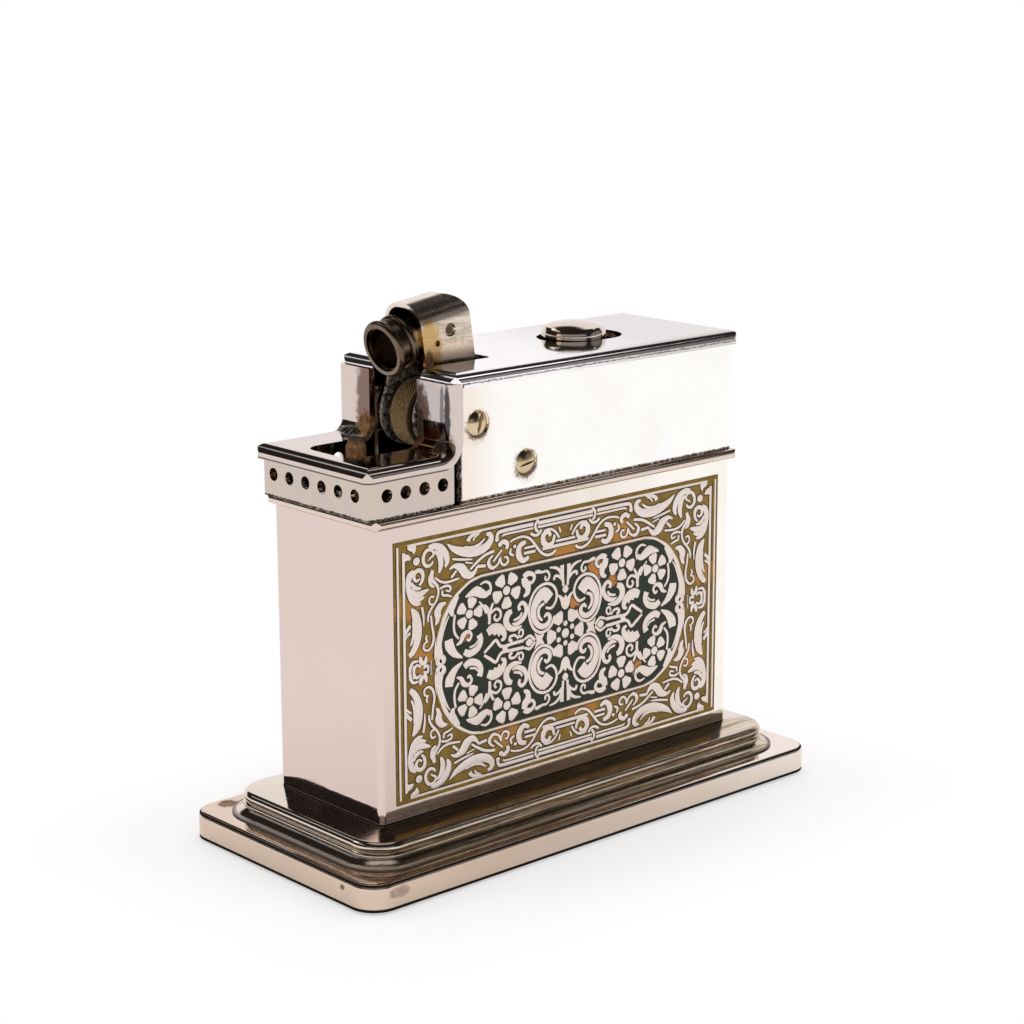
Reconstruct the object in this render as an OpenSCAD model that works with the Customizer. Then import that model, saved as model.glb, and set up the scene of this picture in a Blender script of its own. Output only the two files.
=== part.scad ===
// Table lighter: a stepped foot, an enamelled fuel tank, a perforated wind guard,
// and a housing with a sprung snuffer arm, a spark wheel and a sliding release button.
// Millimetres. Origin at the centre of the foot's underside, +X along the length away
// from the wick, -Y towards the enamelled near side, +Z up.

/* [Foot] */
// Length of the foot slab
foot_l = 90; // [84:0.5:110]
// Width of the foot slab
foot_w = 43; // [40:0.5:60]
// Thickness of the foot slab
foot_t = 4; // [3.4:0.1:8]
// Corner radius of the foot slab in plan
foot_corner_r = 4; // [2.5:0.1:8]
// Radius of the foot slab's upper edge
foot_edge_r = 0.8; // [0.3:0.1:1.5]
// Thickness of the felt pad
felt_t = 1; // [0.6:0.1:1.6]
// Height of felt that shows below the foot slab
felt_proud = 0.4; // [0.2:0.1:0.5]
// Margin of foot slab around the felt pad
felt_margin = 1.6; // [1:0.1:3]

/* [Moulding] */
// Reach of the moulding's bead beyond the tank
ledge_reach = 5.4; // [4.4:0.1:6]
// Height of the whole moulding
moulding_h = 3.8; // [3.6:0.1:7]
// Fall of the ledge from the tank to the bead
ledge_fall = 0.4; // [0.2:0.05:0.7]
// Radius of the bead's section
bead_r = 0.85; // [0.6:0.05:0.9]
// Plan radius of the bead's corners
bead_corner_r = 5.2; // [3:0.1:6]
// Radius of the reed below the bead
reed_r = 0.5; // [0.35:0.05:0.6]
// Reach of the moulding's toe beyond its bead
toe_reach = 1.9; // [1:0.1:2.2]

/* [Tank] */
// Length of the fuel tank
tank_l = 70.2; // [62:0.2:76]
// Width of the fuel tank
tank_w = 23.5; // [22.4:0.1:30]
// Height of the tank shell
tank_h = 42.6; // [34:0.2:60]
// Wall of the tank shell
tank_wall = 0.8; // [0.5:0.1:1.2]
// Radius of the tank's upright edges
tank_edge_r = 0.9; // [0.4:0.1:2]
// Thickness of the tank floor
floor_t = 1.2; // [0.8:0.1:2]
// Thickness of the tank lid at its bead
lid_t = 1.5; // [1:0.1:3]
// Overhang of the lid's bead beyond the tank
lid_over = 0.9; // [0.4:0.1:1.5]

/* [Enamel panels] */
// Bare tank shell at each end of an enamel panel
panel_end = 2.8; // [2:0.1:6]
// Height of the panel's lower edge above the tank's foot
panel_rise = 2.3; // [1:0.1:3]
// Bare tank shell above an enamel panel
panel_top = 2.2; // [1.8:0.1:5]
// Thickness of the enamel
panel_t = 0.12; // [0.05:0.01:0.3]
// Width of the border between the panel's ends and the cartouche
border_end = 7.4; // [4:0.1:12]
// Width of the border above and below the cartouche
border_side = 7.15; // [4:0.05:9]
// Corner radius of the cartouche
cartouche_r = 8.4; // [4:0.1:10]

/* [Wind guard] */
// Reach of the guard's front face beyond the tank's end
guard_reach = 1.7; // [0.9:0.1:2.9]
// Half the width of the guard
guard_half = 12.13; // [11.9:0.01:13]
// Height of the guard's wall
guard_h = 6.4; // [5.4:0.1:9]
// Wall of the guard
guard_wall = 0.7; // [0.5:0.05:1]
// Distance between the guard's back edge and the side walls
guard_gap = 1.5; // [0.8:0.1:2]
// Radius of an air hole
air_hole_r = 0.95; // [0.5:0.05:1.2]
// Number of air holes along each side
side_holes = 4; // [2:1:4]
// Distance between air holes along a side
side_pitch = 3.33; // [2.8:0.01:3.5]
// Number of air holes across the front
front_holes = 6; // [2:1:6]
// Distance between air holes across the front
front_pitch = 3.69; // [2.8:0.01:3.9]

/* [Covers] */
// Overhang of both covers beyond the guard's sides
cover_over = 0.67; // [0.5:0.01:1]
// Radius of the covers' rolled edges
cover_edge_r = 1.4; // [0.8:0.1:1.7]
// Depth of the rolled edges
cover_skirt = 2.1; // [1.8:0.1:2.4]
// Thickness of the cover sheet
cover_t = 1; // [0.6:0.05:1.2]
// Inner radius of the bend between deck and riser
bend_r = 1.9; // [1:0.1:3]
// Distance of the riser's face from the tank's end
riser_set = 12.7; // [12.3:0.1:12.9]
// Half the width of the cut that the arm swings in
cut_half = 5.35; // [4.6:0.05:6]
// Length of the flame opening in front of the riser
flame_l = 12; // [11.8:0.1:12.3]
// Corner radius of the flame opening
flame_r = 2.5; // [1:0.1:4]
// Length of the arm's cut in the top plate
arm_cut_l = 13.3; // [13:0.1:16]

/* [Housing] */
// Distance of the housing's rear end from the tank's far end
rear_set = 0.1; // [-0.3:0.1:5]
// Half the width over the side walls
wall_half = 11.7; // [11.2:0.05:11.75]
// Thickness of the side walls
wall_t = 0.8; // [0.5:0.05:1]
// Height from the tank lid to the top of the top plate
housing_h = 18.6; // [18.4:0.1:22]
// Overhang of the top plate beyond the rear wall
top_over = 0.6; // [0.3:0.1:1.5]

/* [Mechanism frame] */
// Half the width over the chassis cheeks
chassis_half = 8; // [7.8:0.1:9]
// Sheet thickness of the chassis
chassis_t = 0.8; // [0.6:0.05:1]
// Length of the side walls beyond the chassis
chassis_short = 4.6; // [3:0.1:9]
// Height of the chassis cheeks
cheek_h = 15.2; // [14.5:0.1:15.4]
// Radius of the axle
axle_r = 1.2; // [0.9:0.05:1.4]
// Radius of the slotted screw heads
head_r = 1.95; // [1.6:0.05:2.1]
// Height of the slotted screw heads
head_h = 0.75; // [0.5:0.05:1]
// Radius of the frame screws
screw_r = 1; // [0.7:0.05:1.1]

/* [Snuffer arm] */
// Distance of the arm's pivot from the tank's end at the wick
pivot_set = 18.5; // [18.2:0.1:18.9]
// Height of the arm's pivot above the tank lid
pivot_rise = 10.9; // [10.6:0.1:11.4]
// Lean of the open arm towards the wick, in degrees
arm_lean = 8.5; // [7:0.5:9.5]
// Half the width of the hood
hood_half = 4; // [3.9:0.05:4.2]
// Sheet thickness of the hood
hood_t = 0.6; // [0.4:0.05:0.7]
// Length of the hood along the arm's short way
hood_l = 9.08; // [8.6:0.02:9.4]
// Distance from the pivot line to the hood's open edge
hood_front = 1.78; // [1.5:0.02:2]
// Height of the hood's crown above the pivot
hood_top = 16.6; // [16.2:0.1:17.4]
// Radius of the hood's long upper edges
hood_edge_r = 3.4; // [2:0.1:3.6]
// Radius of the hood's rear upper corner
hood_back_r = 3.2; // [1.5:0.1:3.6]
// Radius of the arm's hub discs
hub_r = 5.1; // [5:0.05:5.2]
// Radius that the latch fingers reach
finger_r = 7.4; // [7:0.05:7.5]
// Width of a latch finger
finger_w = 2; // [1.4:0.1:2.2]
// Direction of the latch fingers when the arm is open, in degrees
finger_at = -35; // [-37:0.5:-33]
// Mouth of the snuffer cup, distance from the pivot towards the wick
mouth_x = 7.7; // [7.4:0.1:8]
// Mouth of the snuffer cup, height above the pivot
mouth_z = 9.85; // [9.6:0.05:10.2]
// Downward slant of the open snuffer cup, in degrees
cup_slant = 15; // [13:0.5:17]
// Outer radius of the snuffer cup's lip
lip_r = 4.2; // [3.9:0.05:4.3]
// Outer radius of the snuffer cup's body
cup_r = 3.3; // [3.25:0.01:3.35]
// Inner radius of the snuffer cup
cup_bore_r = 3.02; // [2.8:0.02:3.1]
// Depth of the snuffer cup
cup_depth = 5.4; // [4.6:0.1:5.7]

/* [Spark wheel] */
// Radius of the spark wheel
wheel_r = 5; // [4.8:0.05:5.05]
// Half the width of the spark wheel
wheel_half = 1.9; // [1.5:0.05:2]
// Depth of the cuts in the spark wheel
knurl_d = 0.28; // [0.1:0.02:0.4]
// Number of cuts round the spark wheel
knurl_n = 48; // [30:2:60]
// Tip radius of the ratchet disc
ratchet_r = 4.9; // [4.7:0.05:5.1]
// Depth of the ratchet teeth
ratchet_d = 0.6; // [0.4:0.05:0.7]
// Number of ratchet teeth
ratchet_n = 24; // [20:1:28]
// Thickness of the ratchet disc
ratchet_t = 0.75; // [0.5:0.05:0.9]

/* [Wick and flint] */
// Distance of the wick from the tank's end
wick_set = 5.9; // [5.8:0.1:6.5]
// Radius of the wick
wick_r = 1.5; // [1.1:0.05:1.6]
// Height of the wick's tip above the tank lid
wick_rise = 9; // [8:0.1:9.4]
// Wall of the wick tube
wick_tube_t = 0.65; // [0.4:0.05:0.8]
// Height of the wick tube above the tank lid
wick_tube_rise = 5.7; // [4:0.1:6]
// Outer radius of the flint tube
flint_tube_r = 2; // [1.7:0.05:2.1]
// Inner radius of the flint tube
flint_bore_r = 1.45; // [1.35:0.02:1.5]
// Radius of the flint
flint_r = 1.3; // [1.1:0.02:1.35]
// Length of the flint
flint_l = 6; // [3:0.5:8]

/* [Filler] */
// Distance of the filler from the origin
filler_x = 8; // [5:0.5:12]
// Outer radius of the filler neck
neck_r = 3.6; // [3.2:0.1:4]
// Inner radius of the filler neck
neck_bore_r = 2.55; // [2.2:0.05:2.8]
// Radius of the filler screw's head
filler_head_r = 4.2; // [4.1:0.1:5]

/* [Release button] */
// Radius of the round button
button_r = 4.87; // [4.4:0.01:5.1]
// Distance of the resting button from the tank's far end
button_set = 22.35; // [21.6:0.05:22.8]
// Height of the button above the top plate
button_rise = 2.5; // [1.6:0.1:4]
// Radius of the button's upper edge
button_edge_r = 2; // [0.5:0.1:2.2]
// Radius of the button's domed top
button_dome_r = 13; // [10:0.5:40]
// Gap between the button and the sides of its opening
slot_gap = 0.18; // [0.15:0.01:0.4]
// Gap left of the resting button
slot_before = 0.95; // [0.3:0.05:1.2]
// Travel of the button
button_travel = 2.6; // [1.5:0.1:3]

/* [Hidden] */
$fn = 64;

// Clearance of a shaft or pin in its bore
fit = 0.05;
// Clearance between moving bodies
run = 0.2;

// Colours
nickel = [0.84, 0.8, 0.78];
old_nickel = [0.66, 0.6, 0.5];
bronze = [0.4, 0.33, 0.26];
brass = [0.78, 0.6, 0.3];
steel = [0.55, 0.54, 0.52];
olive = [0.55, 0.45, 0.14];
cream = [0.85, 0.8, 0.7];
black = [0.1, 0.1, 0.1];

// Heights of the main layers
foot_z0 = felt_proud;
foot_z1 = foot_z0 + foot_t;
ledge_z = foot_z1 + moulding_h;
tank_z1 = ledge_z + tank_h;
lid_z = tank_z1 + lid_t;
guard_z1 = lid_z + guard_h;
deck_z = guard_z1 + cover_t;
top_z = lid_z + housing_h;
top_under = top_z - cover_t;

// Plan of the layers
guard_front = tank_l / 2 + guard_reach;
riser_x = tank_l / 2 - riser_set;
pivot_x = tank_l / 2 - pivot_set;
wick_x = tank_l / 2 - wick_set;
button_x = tank_l / 2 - button_set;
wall_x0 = -riser_x + cover_skirt + 0.3;
wall_x1 = tank_l / 2 - rear_set;
wall_l = wall_x1 - wall_x0;
chassis_l = wall_l - chassis_short;
panel_l = tank_l - 2 * panel_end;
panel_h = tank_h - panel_rise - panel_top;
cartouche_l = panel_l - 2 * border_end;
cartouche_h = panel_h - 2 * border_side;
bead_l = tank_l + 2 * ledge_reach;
bead_w = tank_w + 2 * ledge_reach;
lid_l = tank_l + 2 * lid_over;
lid_w = tank_w + 2 * lid_over;
cover_half = guard_half + cover_over;
cover_front = guard_front + cover_over;
plate_x0 = -riser_x + 0.7;
plate_x1 = wall_x1 + top_over;

// Screw bosses and bottom bores
base_screw_x = tank_l / 2 - 7.1;
base_screw_r = 1.4;
base_head_r = 2.6;
base_head_h = 1.5;
boss_r = 3;
boss_h = 4.6;
bore_top = ledge_z + floor_t + boss_h;
screw_bottom = foot_z0 + 0.9;

// Pivot of the arm and wheel
ax = -pivot_x;
az = lid_z + pivot_rise;
cheek_in = chassis_half - chassis_t;
hood_in = hood_half - hood_t;
chassis_x0 = -pivot_x - 2.8;
frame_screw_x = ax + 9.15;
frame_screw_z = az - 6.8;
head_seat = wall_half - 0.35;

// Snuffer cup along its own axis
cup_l = 8.1;
cup_floor = cup_depth;
socket_l = 5;
pin_r = 0.62;
small_pin_r = 0.4;

// Pawl in the arm's own frame
tooth_at = 36;
tooth_step = 360 / ratchet_n;
pawl_pin_r = 0.5;
pawl_u = 1.81;
pawl_w = 6.76;
pawl_y0 = wheel_half + 0.05;
pawl_y1 = wheel_half + ratchet_t;

// Latch and button layers
bar_z0 = az + 1.7;
bar_z1 = bar_z0 + 1.2;
bar_x1 = button_x + 4.9;
nose_x0 = ax + finger_r - 0.1;
nose_l = 3;
nose_half = hood_half + 0.3;
shelf_z1 = bar_z0 - run;
shelf_t = 0.8;
shelf_x0 = 2;
shelf_x1 = bar_x1 + 11.4;
carrier_z1 = top_under - 0.3;
carrier_t = 0.9;
slot_r = button_r + slot_gap;
carrier_half = slot_r + 1.7;
lug_x0 = bar_x1 + 9.4;
lug_t = 0.8;
slot_x0 = button_x - slot_before + slot_gap;
slot_x1 = button_x + button_travel + 0.5;

// Stud under the latch finger of the open arm
stud_r = 0.8;
stud_at = finger_r - 1.1;
stud_off = finger_w / 2 + stud_r + 0.15;
stud_x = ax + stud_at * cos(finger_at) + stud_off * sin(finger_at);
stud_z = az + stud_at * sin(finger_at) - stud_off * cos(finger_at);

// Flint magazine
flint_top = az - wheel_r - run;
flint_z0 = flint_top - flint_l;
tube_top = flint_top - 1;
tube_bottom = foot_z0 + 2;
flint_screw_top = ledge_z + 3.3;

// A drawing in (x, z) made solid from y0 to y1
module across(y0, y1)
{
    translate([0, y1, 0])
        rotate([90, 0, 0])
            linear_extrude(y1 - y0)
                children();
}

// A drawing in (y, z) made solid from x0 to x1
module along(x0, x1)
{
    translate([x0, 0, 0])
        rotate([90, 0, 90])
            linear_extrude(x1 - x0)
                children();
}

// A round rod along Y
module rod(x, z, r, y0, y1)
{
    translate([x, y1, z])
        rotate([90, 0, 0])
            cylinder(r = r, h = y1 - y0);
}

// A round rod along Z
module post(x, y, r, z0, z1)
{
    translate([x, y, z0])
        cylinder(r = r, h = z1 - z0);
}

// A block given by its two far corners
module block(low, high)
{
    translate(low)
        cube(high - low);
}

// A rectangle with rounded corners about the origin
module round_rect(l, w, r)
{
    square([l - 2 * r, w], center = true);
    square([l, w - 2 * r], center = true);
    for (sx = [-1, 1], sy = [-1, 1])
        translate([sx * (l / 2 - r), sy * (w / 2 - r)])
            circle(r);
}

// A rectangle standing on y = 0 with its two upper corners rounded
module soft_top(w, h, r)
{
    translate([-w / 2, 0])
        square([w, h - r]);
    translate([-w / 2 + r, 0])
        square([w - 2 * r, h]);
    intersection()
    {
        for (s = [-1, 1])
            translate([s * (w / 2 - r), h - r])
                circle(r);
        translate([-w / 2, 0])
            square([w, h]);
    }
}

// An outline with straight flanks and round ends, from x0 to x1 between arc centres
module stadium(x0, x1, r)
{
    translate([x0, -r])
        square([x1 - x0, 2 * r]);
    for (x = [x0, x1])
        translate([x, 0])
            circle(r);
}

// A profile in (reach, z) carried round a rectangle whose corner centres are at half_l, half_w
module carried_round(half_l, half_w)
{
    for (s = [-1, 1])
    {
        translate([-half_l, s * half_w, 0])
            rotate([0, 0, s > 0 ? 0 : 180])
                translate([s > 0 ? 0 : -2 * half_l, 0, 0])
                    rotate([90, 0, 90])
                        linear_extrude(2 * half_l)
                            children();
        translate([s * half_l, s * half_w, 0])
            rotate([0, 0, s > 0 ? -90 : 90])
                translate([0, 0, 0])
                    rotate([90, 0, 90])
                        linear_extrude(2 * half_w)
                            children();
    }
    for (sx = [-1, 1], sy = [-1, 1])
        translate([sx * half_l, sy * half_w, 0])
            rotate_extrude()
                children();
}

// A slotted domed screw head that stands on z = 0
module slotted_head(r, h, turn)
{
    slot_w = 0.28 * r;
    difference()
    {
        rotate_extrude()
            intersection()
            {
                dome_r = (r * r + h * h) / (2 * h);
                translate([0, h - dome_r])
                    circle(dome_r);
                square([r, h]);
            }
        rotate([0, 0, turn])
            translate([-r - 1, -slot_w / 2, h * 0.45])
                cube([2 * r + 2, slot_w, h]);
    }
}

// A slotted head on a side wall: side -1 faces the near side, 1 the far side
module wall_head(x, z, side, turn)
{
    translate([x, side * head_seat, z])
        rotate([-90 * side, 0, 0])
            slotted_head(head_r, head_h, turn);
}

// Point at the given radius and angle
function polar(r, a) = [r * cos(a), r * sin(a)];

// Unit vector
function unit(v) = v / norm(v);

// Cross-section frames of a wire that never runs along the given axis
function way(path, i) = unit(path[min(i + 1, len(path) - 1)] - path[max(i - 1, 0)]);
function wire_points(path, axis, r, sides) = [
    for (i = [0:len(path) - 1])
        let (t = way(path, i), n = unit(cross(axis, t)), b = cross(t, n))
            for (k = [0:sides - 1])
                path[i] + r * cos(360 * k / sides) * n + r * sin(360 * k / sides) * b];
function wire_sides(count, sides) = [
    for (i = [0:count - 2], k = [0:sides - 1], half = [0, 1])
        let (a = i * sides + k, b = i * sides + (k + 1) % sides)
            half == 0 ? [a, a + sides, b] : [b, a + sides, b + sides]];
function wire_caps(count, sides) = [
    for (k = [1:sides - 2])
        [0, k, k + 1],
    for (k = [1:sides - 2])
        [(count - 1) * sides, (count - 1) * sides + k + 1, (count - 1) * sides + k]];

// A wire along a path
module wire(path, axis, r, sides = 6)
{
    polyhedron(points = wire_points(path, axis, r, sides),
        faces = concat(wire_sides(len(path), sides), wire_caps(len(path), sides)));
}

// Helix about +Z from the origin
function helix(r, pitch, curls, rings = 8) = [
    for (i = [0:curls * rings])
        [r * cos(360 * i / rings), r * sin(360 * i / rings), pitch * i / rings]];

// Least gap between a wire's surface and itself, over points more than half a curl apart
function least_gap(path, d, skip = 5) = min([
    for (i = [0:len(path) - 1], j = [i + skip:1:len(path) - 1])
        norm(path[i] - path[j])]) - d;

// Foot
module base_felt()
{
    color(black)
        difference()
        {
            linear_extrude(felt_t)
                round_rect(foot_l - 2 * felt_margin - 0.2, foot_w - 2 * felt_margin - 0.2,
                    foot_corner_r - 1);
            post(ax, 0, 3.2, -1, felt_t + 1);
            post(filler_x, 0, filler_head_r + 0.8, -1, felt_t + 1);
        }
}

module base_plinth()
{
    recess = felt_t - felt_proud;
    color(nickel)
        difference()
        {
            intersection()
            {
                translate([0, 0, foot_z0])
                    linear_extrude(foot_t)
                        round_rect(foot_l, foot_w, foot_corner_r);
                union()
                {
                    translate([0, 0, foot_z0])
                        carried_round(foot_l / 2 - foot_corner_r, foot_w / 2 - foot_corner_r)
                            foot_profile();
                    block([-foot_l / 2 + foot_corner_r, -foot_w / 2 + foot_corner_r, foot_z0],
                        [foot_l / 2 - foot_corner_r, foot_w / 2 - foot_corner_r, foot_z1]);
                }
            }
            translate([0, 0, foot_z0 - 1])
                linear_extrude(1 + recess)
                    round_rect(foot_l - 2 * felt_margin, foot_w - 2 * felt_margin,
                        foot_corner_r - 1);
            for (s = [-1, 1])
            {
                post(s * base_screw_x, 0, base_screw_r + fit, 0, foot_z1 + 1);
                post(s * base_screw_x, 0, base_head_r + 0.2, 0, screw_bottom + base_head_h);
            }
            post(ax, 0, flint_tube_r + 0.9, 0, foot_z1 + 1);
            post(filler_x, 0, filler_head_r + 0.4, 0, foot_z1 + 1);
        }
}

// Section of the foot slab's edge
module foot_profile()
{
    square([foot_corner_r, foot_t - foot_edge_r]);
    square([foot_corner_r - foot_edge_r, foot_t]);
    translate([foot_corner_r - foot_edge_r, foot_t - foot_edge_r])
        circle(foot_edge_r);
}

// Section of the moulding: falling ledge, bead, reed and a cove that runs out into the toe
module moulding_profile()
{
    toe_t = 0.2;
    bead_x = bead_corner_r - bead_r;
    bead_z = moulding_h - ledge_fall - bead_r;
    reed_z = bead_z - bead_r - 0.6 * reed_r;
    cove_x = bead_corner_r - 0.15;
    cove_h = reed_z - 0.75 * reed_r - toe_t;
    cove_r = (pow(toe_reach, 2) + pow(cove_h, 2)) / (2 * cove_h);
    polygon([[0, 0], [0, moulding_h], [max(0.1, bead_corner_r - ledge_reach), moulding_h],
        [bead_x, bead_z + bead_r], [bead_x, 0]]);
    translate([bead_x, bead_z])
        circle(bead_r);
    square([bead_corner_r - 0.6, bead_z]);
    translate([bead_corner_r + 0.1 - reed_r, reed_z])
        circle(reed_r);
    difference()
    {
        square([cove_x + toe_reach, toe_t + cove_h]);
        translate([cove_x + toe_reach, toe_t + cove_r])
            circle(cove_r, $fn = 128);
    }
}

module base_moulding()
{
    half_l = bead_l / 2 - bead_corner_r;
    half_w = bead_w / 2 - bead_corner_r;
    color(nickel)
        difference()
        {
            union()
            {
                translate([0, 0, foot_z1])
                    carried_round(half_l, half_w)
                        moulding_profile();
                block([-half_l, -half_w, foot_z1], [half_l, half_w, ledge_z]);
            }
            for (s = [-1, 1])
                post(s * base_screw_x, 0, base_screw_r + fit, 0, ledge_z + 1);
            post(ax, 0, flint_tube_r + fit, 0, ledge_z + 1);
            post(filler_x, 0, neck_r + fit, 0, ledge_z + 1);
        }
}

module base_screws()
{
    color(steel)
        for (s = [-1, 1])
            difference()
            {
                union()
                {
                    post(s * base_screw_x, 0, base_head_r, screw_bottom, screw_bottom + base_head_h);
                    post(s * base_screw_x, 0, base_screw_r, screw_bottom, bore_top - 1);
                }
                translate([s * base_screw_x - base_head_r, -0.4, 0])
                    cube([2 * base_head_r, 0.8, screw_bottom + 0.6]);
            }
}

// Tank
module tank_shell()
{
    color(nickel)
        translate([0, 0, ledge_z])
            linear_extrude(tank_h)
                difference()
                {
                    round_rect(tank_l, tank_w, tank_edge_r);
                    square([tank_l - 2 * tank_wall, tank_w - 2 * tank_wall], center = true);
                }
}

module tank_floor()
{
    color(brass)
        difference()
        {
            union()
            {
                block([-tank_l / 2 + tank_wall + fit, -tank_w / 2 + tank_wall + fit, ledge_z],
                    [tank_l / 2 - tank_wall - fit, tank_w / 2 - tank_wall - fit, ledge_z + floor_t]);
                for (s = [-1, 1])
                    post(s * base_screw_x, 0, boss_r, ledge_z, bore_top);
            }
            for (s = [-1, 1])
                post(s * base_screw_x, 0, base_screw_r + fit, 0, bore_top - 0.8);
            post(ax, 0, flint_tube_r + fit, 0, bore_top);
            post(filler_x, 0, neck_r + fit, 0, bore_top);
        }
}

module tank_lid()
{
    r = lid_t / 2;
    color(nickel)
        difference()
        {
            union()
            {
                intersection()
                {
                    along(-lid_l / 2, lid_l / 2)
                        translate([0, tank_z1 + r])
                            stadium(-lid_w / 2 + r, lid_w / 2 - r, r);
                    across(-lid_w / 2, lid_w / 2)
                        translate([0, tank_z1 + r])
                            stadium(-lid_l / 2 + r, lid_l / 2 - r, r);
                    translate([0, 0, tank_z1])
                        linear_extrude(lid_t)
                            round_rect(lid_l, lid_w, 1.2);
                }
                block([-tank_l / 2 + tank_wall + fit, -tank_w / 2 + tank_wall + fit, tank_z1 - 1.2],
                    [tank_l / 2 - tank_wall - fit, tank_w / 2 - tank_wall - fit, tank_z1 + r]);
            }
            post(ax, 0, flint_tube_r + fit, 0, lid_z + 1);
            post(-wick_x, 0, wick_r + wick_tube_t + 2 * fit, 0, lid_z + 1);
        }
}

// Outline of the cartouche in (x, z)
module cartouche_outline(grow)
{
    translate([0, ledge_z + panel_rise + panel_h / 2])
        round_rect(cartouche_l + 2 * grow, cartouche_h + 2 * grow, cartouche_r + grow);
}

// Enamel panel whose back lies on the tank's near side
module enamel_panel()
{
    rib = 0.5;
    frame_l = panel_l - 1.3;
    frame_h = panel_h - 0.6;
    mid_z = ledge_z + panel_rise + panel_h / 2;
    face = -tank_w / 2;
    color(olive)
    {
        across(face - panel_t, face)
            translate([0, mid_z])
                square([panel_l, panel_h], center = true);
        across(face - panel_t - 0.06, face - panel_t)
            difference()
            {
                translate([0, mid_z])
                    square([frame_l, frame_h], center = true);
                translate([0, mid_z])
                    square([frame_l - 2 * rib, frame_h - 2 * rib], center = true);
            }
        across(face - panel_t - 0.06, face - panel_t)
            difference()
            {
                cartouche_outline(0);
                cartouche_outline(-0.45);
            }
    }
}

module enamel_near()
{
    enamel_panel();
}

module enamel_far()
{
    rotate([0, 0, 180])
        enamel_panel();
}

module wadding()
{
    gap = 0.75;
    color(cream)
        difference()
        {
            block([-tank_l / 2 + tank_wall + gap, -tank_w / 2 + tank_wall + gap, bore_top + 0.3],
                [tank_l / 2 - tank_wall - gap, tank_w / 2 - tank_wall - gap, tank_z1 - 1.5]);
            post(ax, 0, flint_tube_r + 0.2, 0, lid_z);
            post(-wick_x, 0, wick_r + wick_tube_t + 0.3, tank_z1 - 3.4, lid_z);
            post(-wick_x, 0, wick_r + 0.1, tank_z1 - 11, lid_z);
        }
}

// Wick and its tube
module wick_tube()
{
    outer = wick_r + wick_tube_t + fit;
    color(brass)
        difference()
        {
            union()
            {
                post(-wick_x, 0, outer, tank_z1 - 3, lid_z + wick_tube_rise);
                post(-wick_x, 0, outer + 1, lid_z, lid_z + 0.8);
            }
            post(-wick_x, 0, wick_r + fit, 0, top_z);
        }
}

module wick()
{
    tip = 0.8;
    color(cream)
    {
        post(-wick_x, 0, wick_r, tank_z1 - 10.8, lid_z + wick_rise - tip);
        translate([-wick_x, 0, lid_z + wick_rise - tip])
            cylinder(r1 = wick_r, r2 = wick_r - 0.5, h = tip);
    }
}

// Filler
module filler_neck()
{
    color(brass)
        difference()
        {
            post(filler_x, 0, neck_r, foot_z0 + 2.9, ledge_z + floor_t + 2.4);
            post(filler_x, 0, neck_bore_r, 0, tank_z1);
        }
}

module filler_washer()
{
    color(cream)
        difference()
        {
            post(filler_x, 0, neck_r, foot_z0 + 2.2, foot_z0 + 2.9);
            post(filler_x, 0, neck_bore_r + fit, 0, tank_z1);
        }
}

module filler_screw()
{
    color(brass)
        difference()
        {
            union()
            {
                post(filler_x, 0, filler_head_r, foot_z0 + 0.8, foot_z0 + 2.2);
                post(filler_x, 0, neck_bore_r - fit, foot_z0 + 0.8, ledge_z + floor_t);
            }
            block([filler_x - filler_head_r - 1, -0.6, 0], [filler_x + filler_head_r + 1, 0.6, foot_z0 + 1.5]);
        }
}

// Flint magazine
module flint_tube()
{
    color(brass)
        difference()
        {
            post(ax, 0, flint_tube_r, tube_bottom, tube_top);
            post(ax, 0, flint_bore_r, 0, top_z);
        }
}

module flint()
{
    color(steel)
        post(ax, 0, flint_r, flint_z0, flint_top);
}

flint_spring_z0 = flint_screw_top + 0.3;
flint_spring_r = 1;
flint_wire_r = 0.17;
flint_curls = 22;
flint_pitch = (flint_z0 - 0.3 - flint_spring_z0 - 2 * flint_wire_r) / flint_curls;
flint_path = helix(flint_spring_r, flint_pitch, flint_curls);

module flint_spring()
{
    echo("flint spring least gap", least_gap(flint_path, 2 * flint_wire_r));
    color(steel)
        translate([ax, 0, flint_spring_z0 + flint_wire_r])
            wire(flint_path, [0, 0, 1], flint_wire_r);
}

module flint_screw()
{
    color(brass)
        difference()
        {
            union()
            {
                post(ax, 0, flint_tube_r + 0.5, tube_bottom - 1.1, tube_bottom);
                post(ax, 0, flint_bore_r - fit, tube_bottom - 1.1, flint_screw_top);
            }
            block([ax - 5, -0.4, 0], [ax + 5, 0.4, tube_bottom - 0.6]);
        }
}

// Wind guard
module gallery()
{
    hole_z = lid_z + 3.3;
    back_x = wall_x0 - guard_gap;
    length = 2 * guard_front;
    color(nickel)
        difference()
        {
            translate([0, 0, lid_z])
                linear_extrude(guard_h)
                    difference()
                    {
                        round_rect(length, 2 * guard_half, 1);
                        square([length - 2 * guard_wall, 2 * (guard_half - guard_wall)], center = true);
                    }
            block([back_x, -30, 0], [60, 30, 90]);
            for (i = [0:side_holes - 1])
                rod(-guard_front + 3.27 + i * side_pitch, hole_z, air_hole_r, -20, 20);
            for (i = [0:front_holes - 1])
                translate([-guard_front - 1, (i - (front_holes - 1) / 2) * front_pitch, hole_z])
                    rotate([0, 90, 0])
                        cylinder(r = air_hole_r, h = guard_wall + 2);
        }
}

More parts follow.
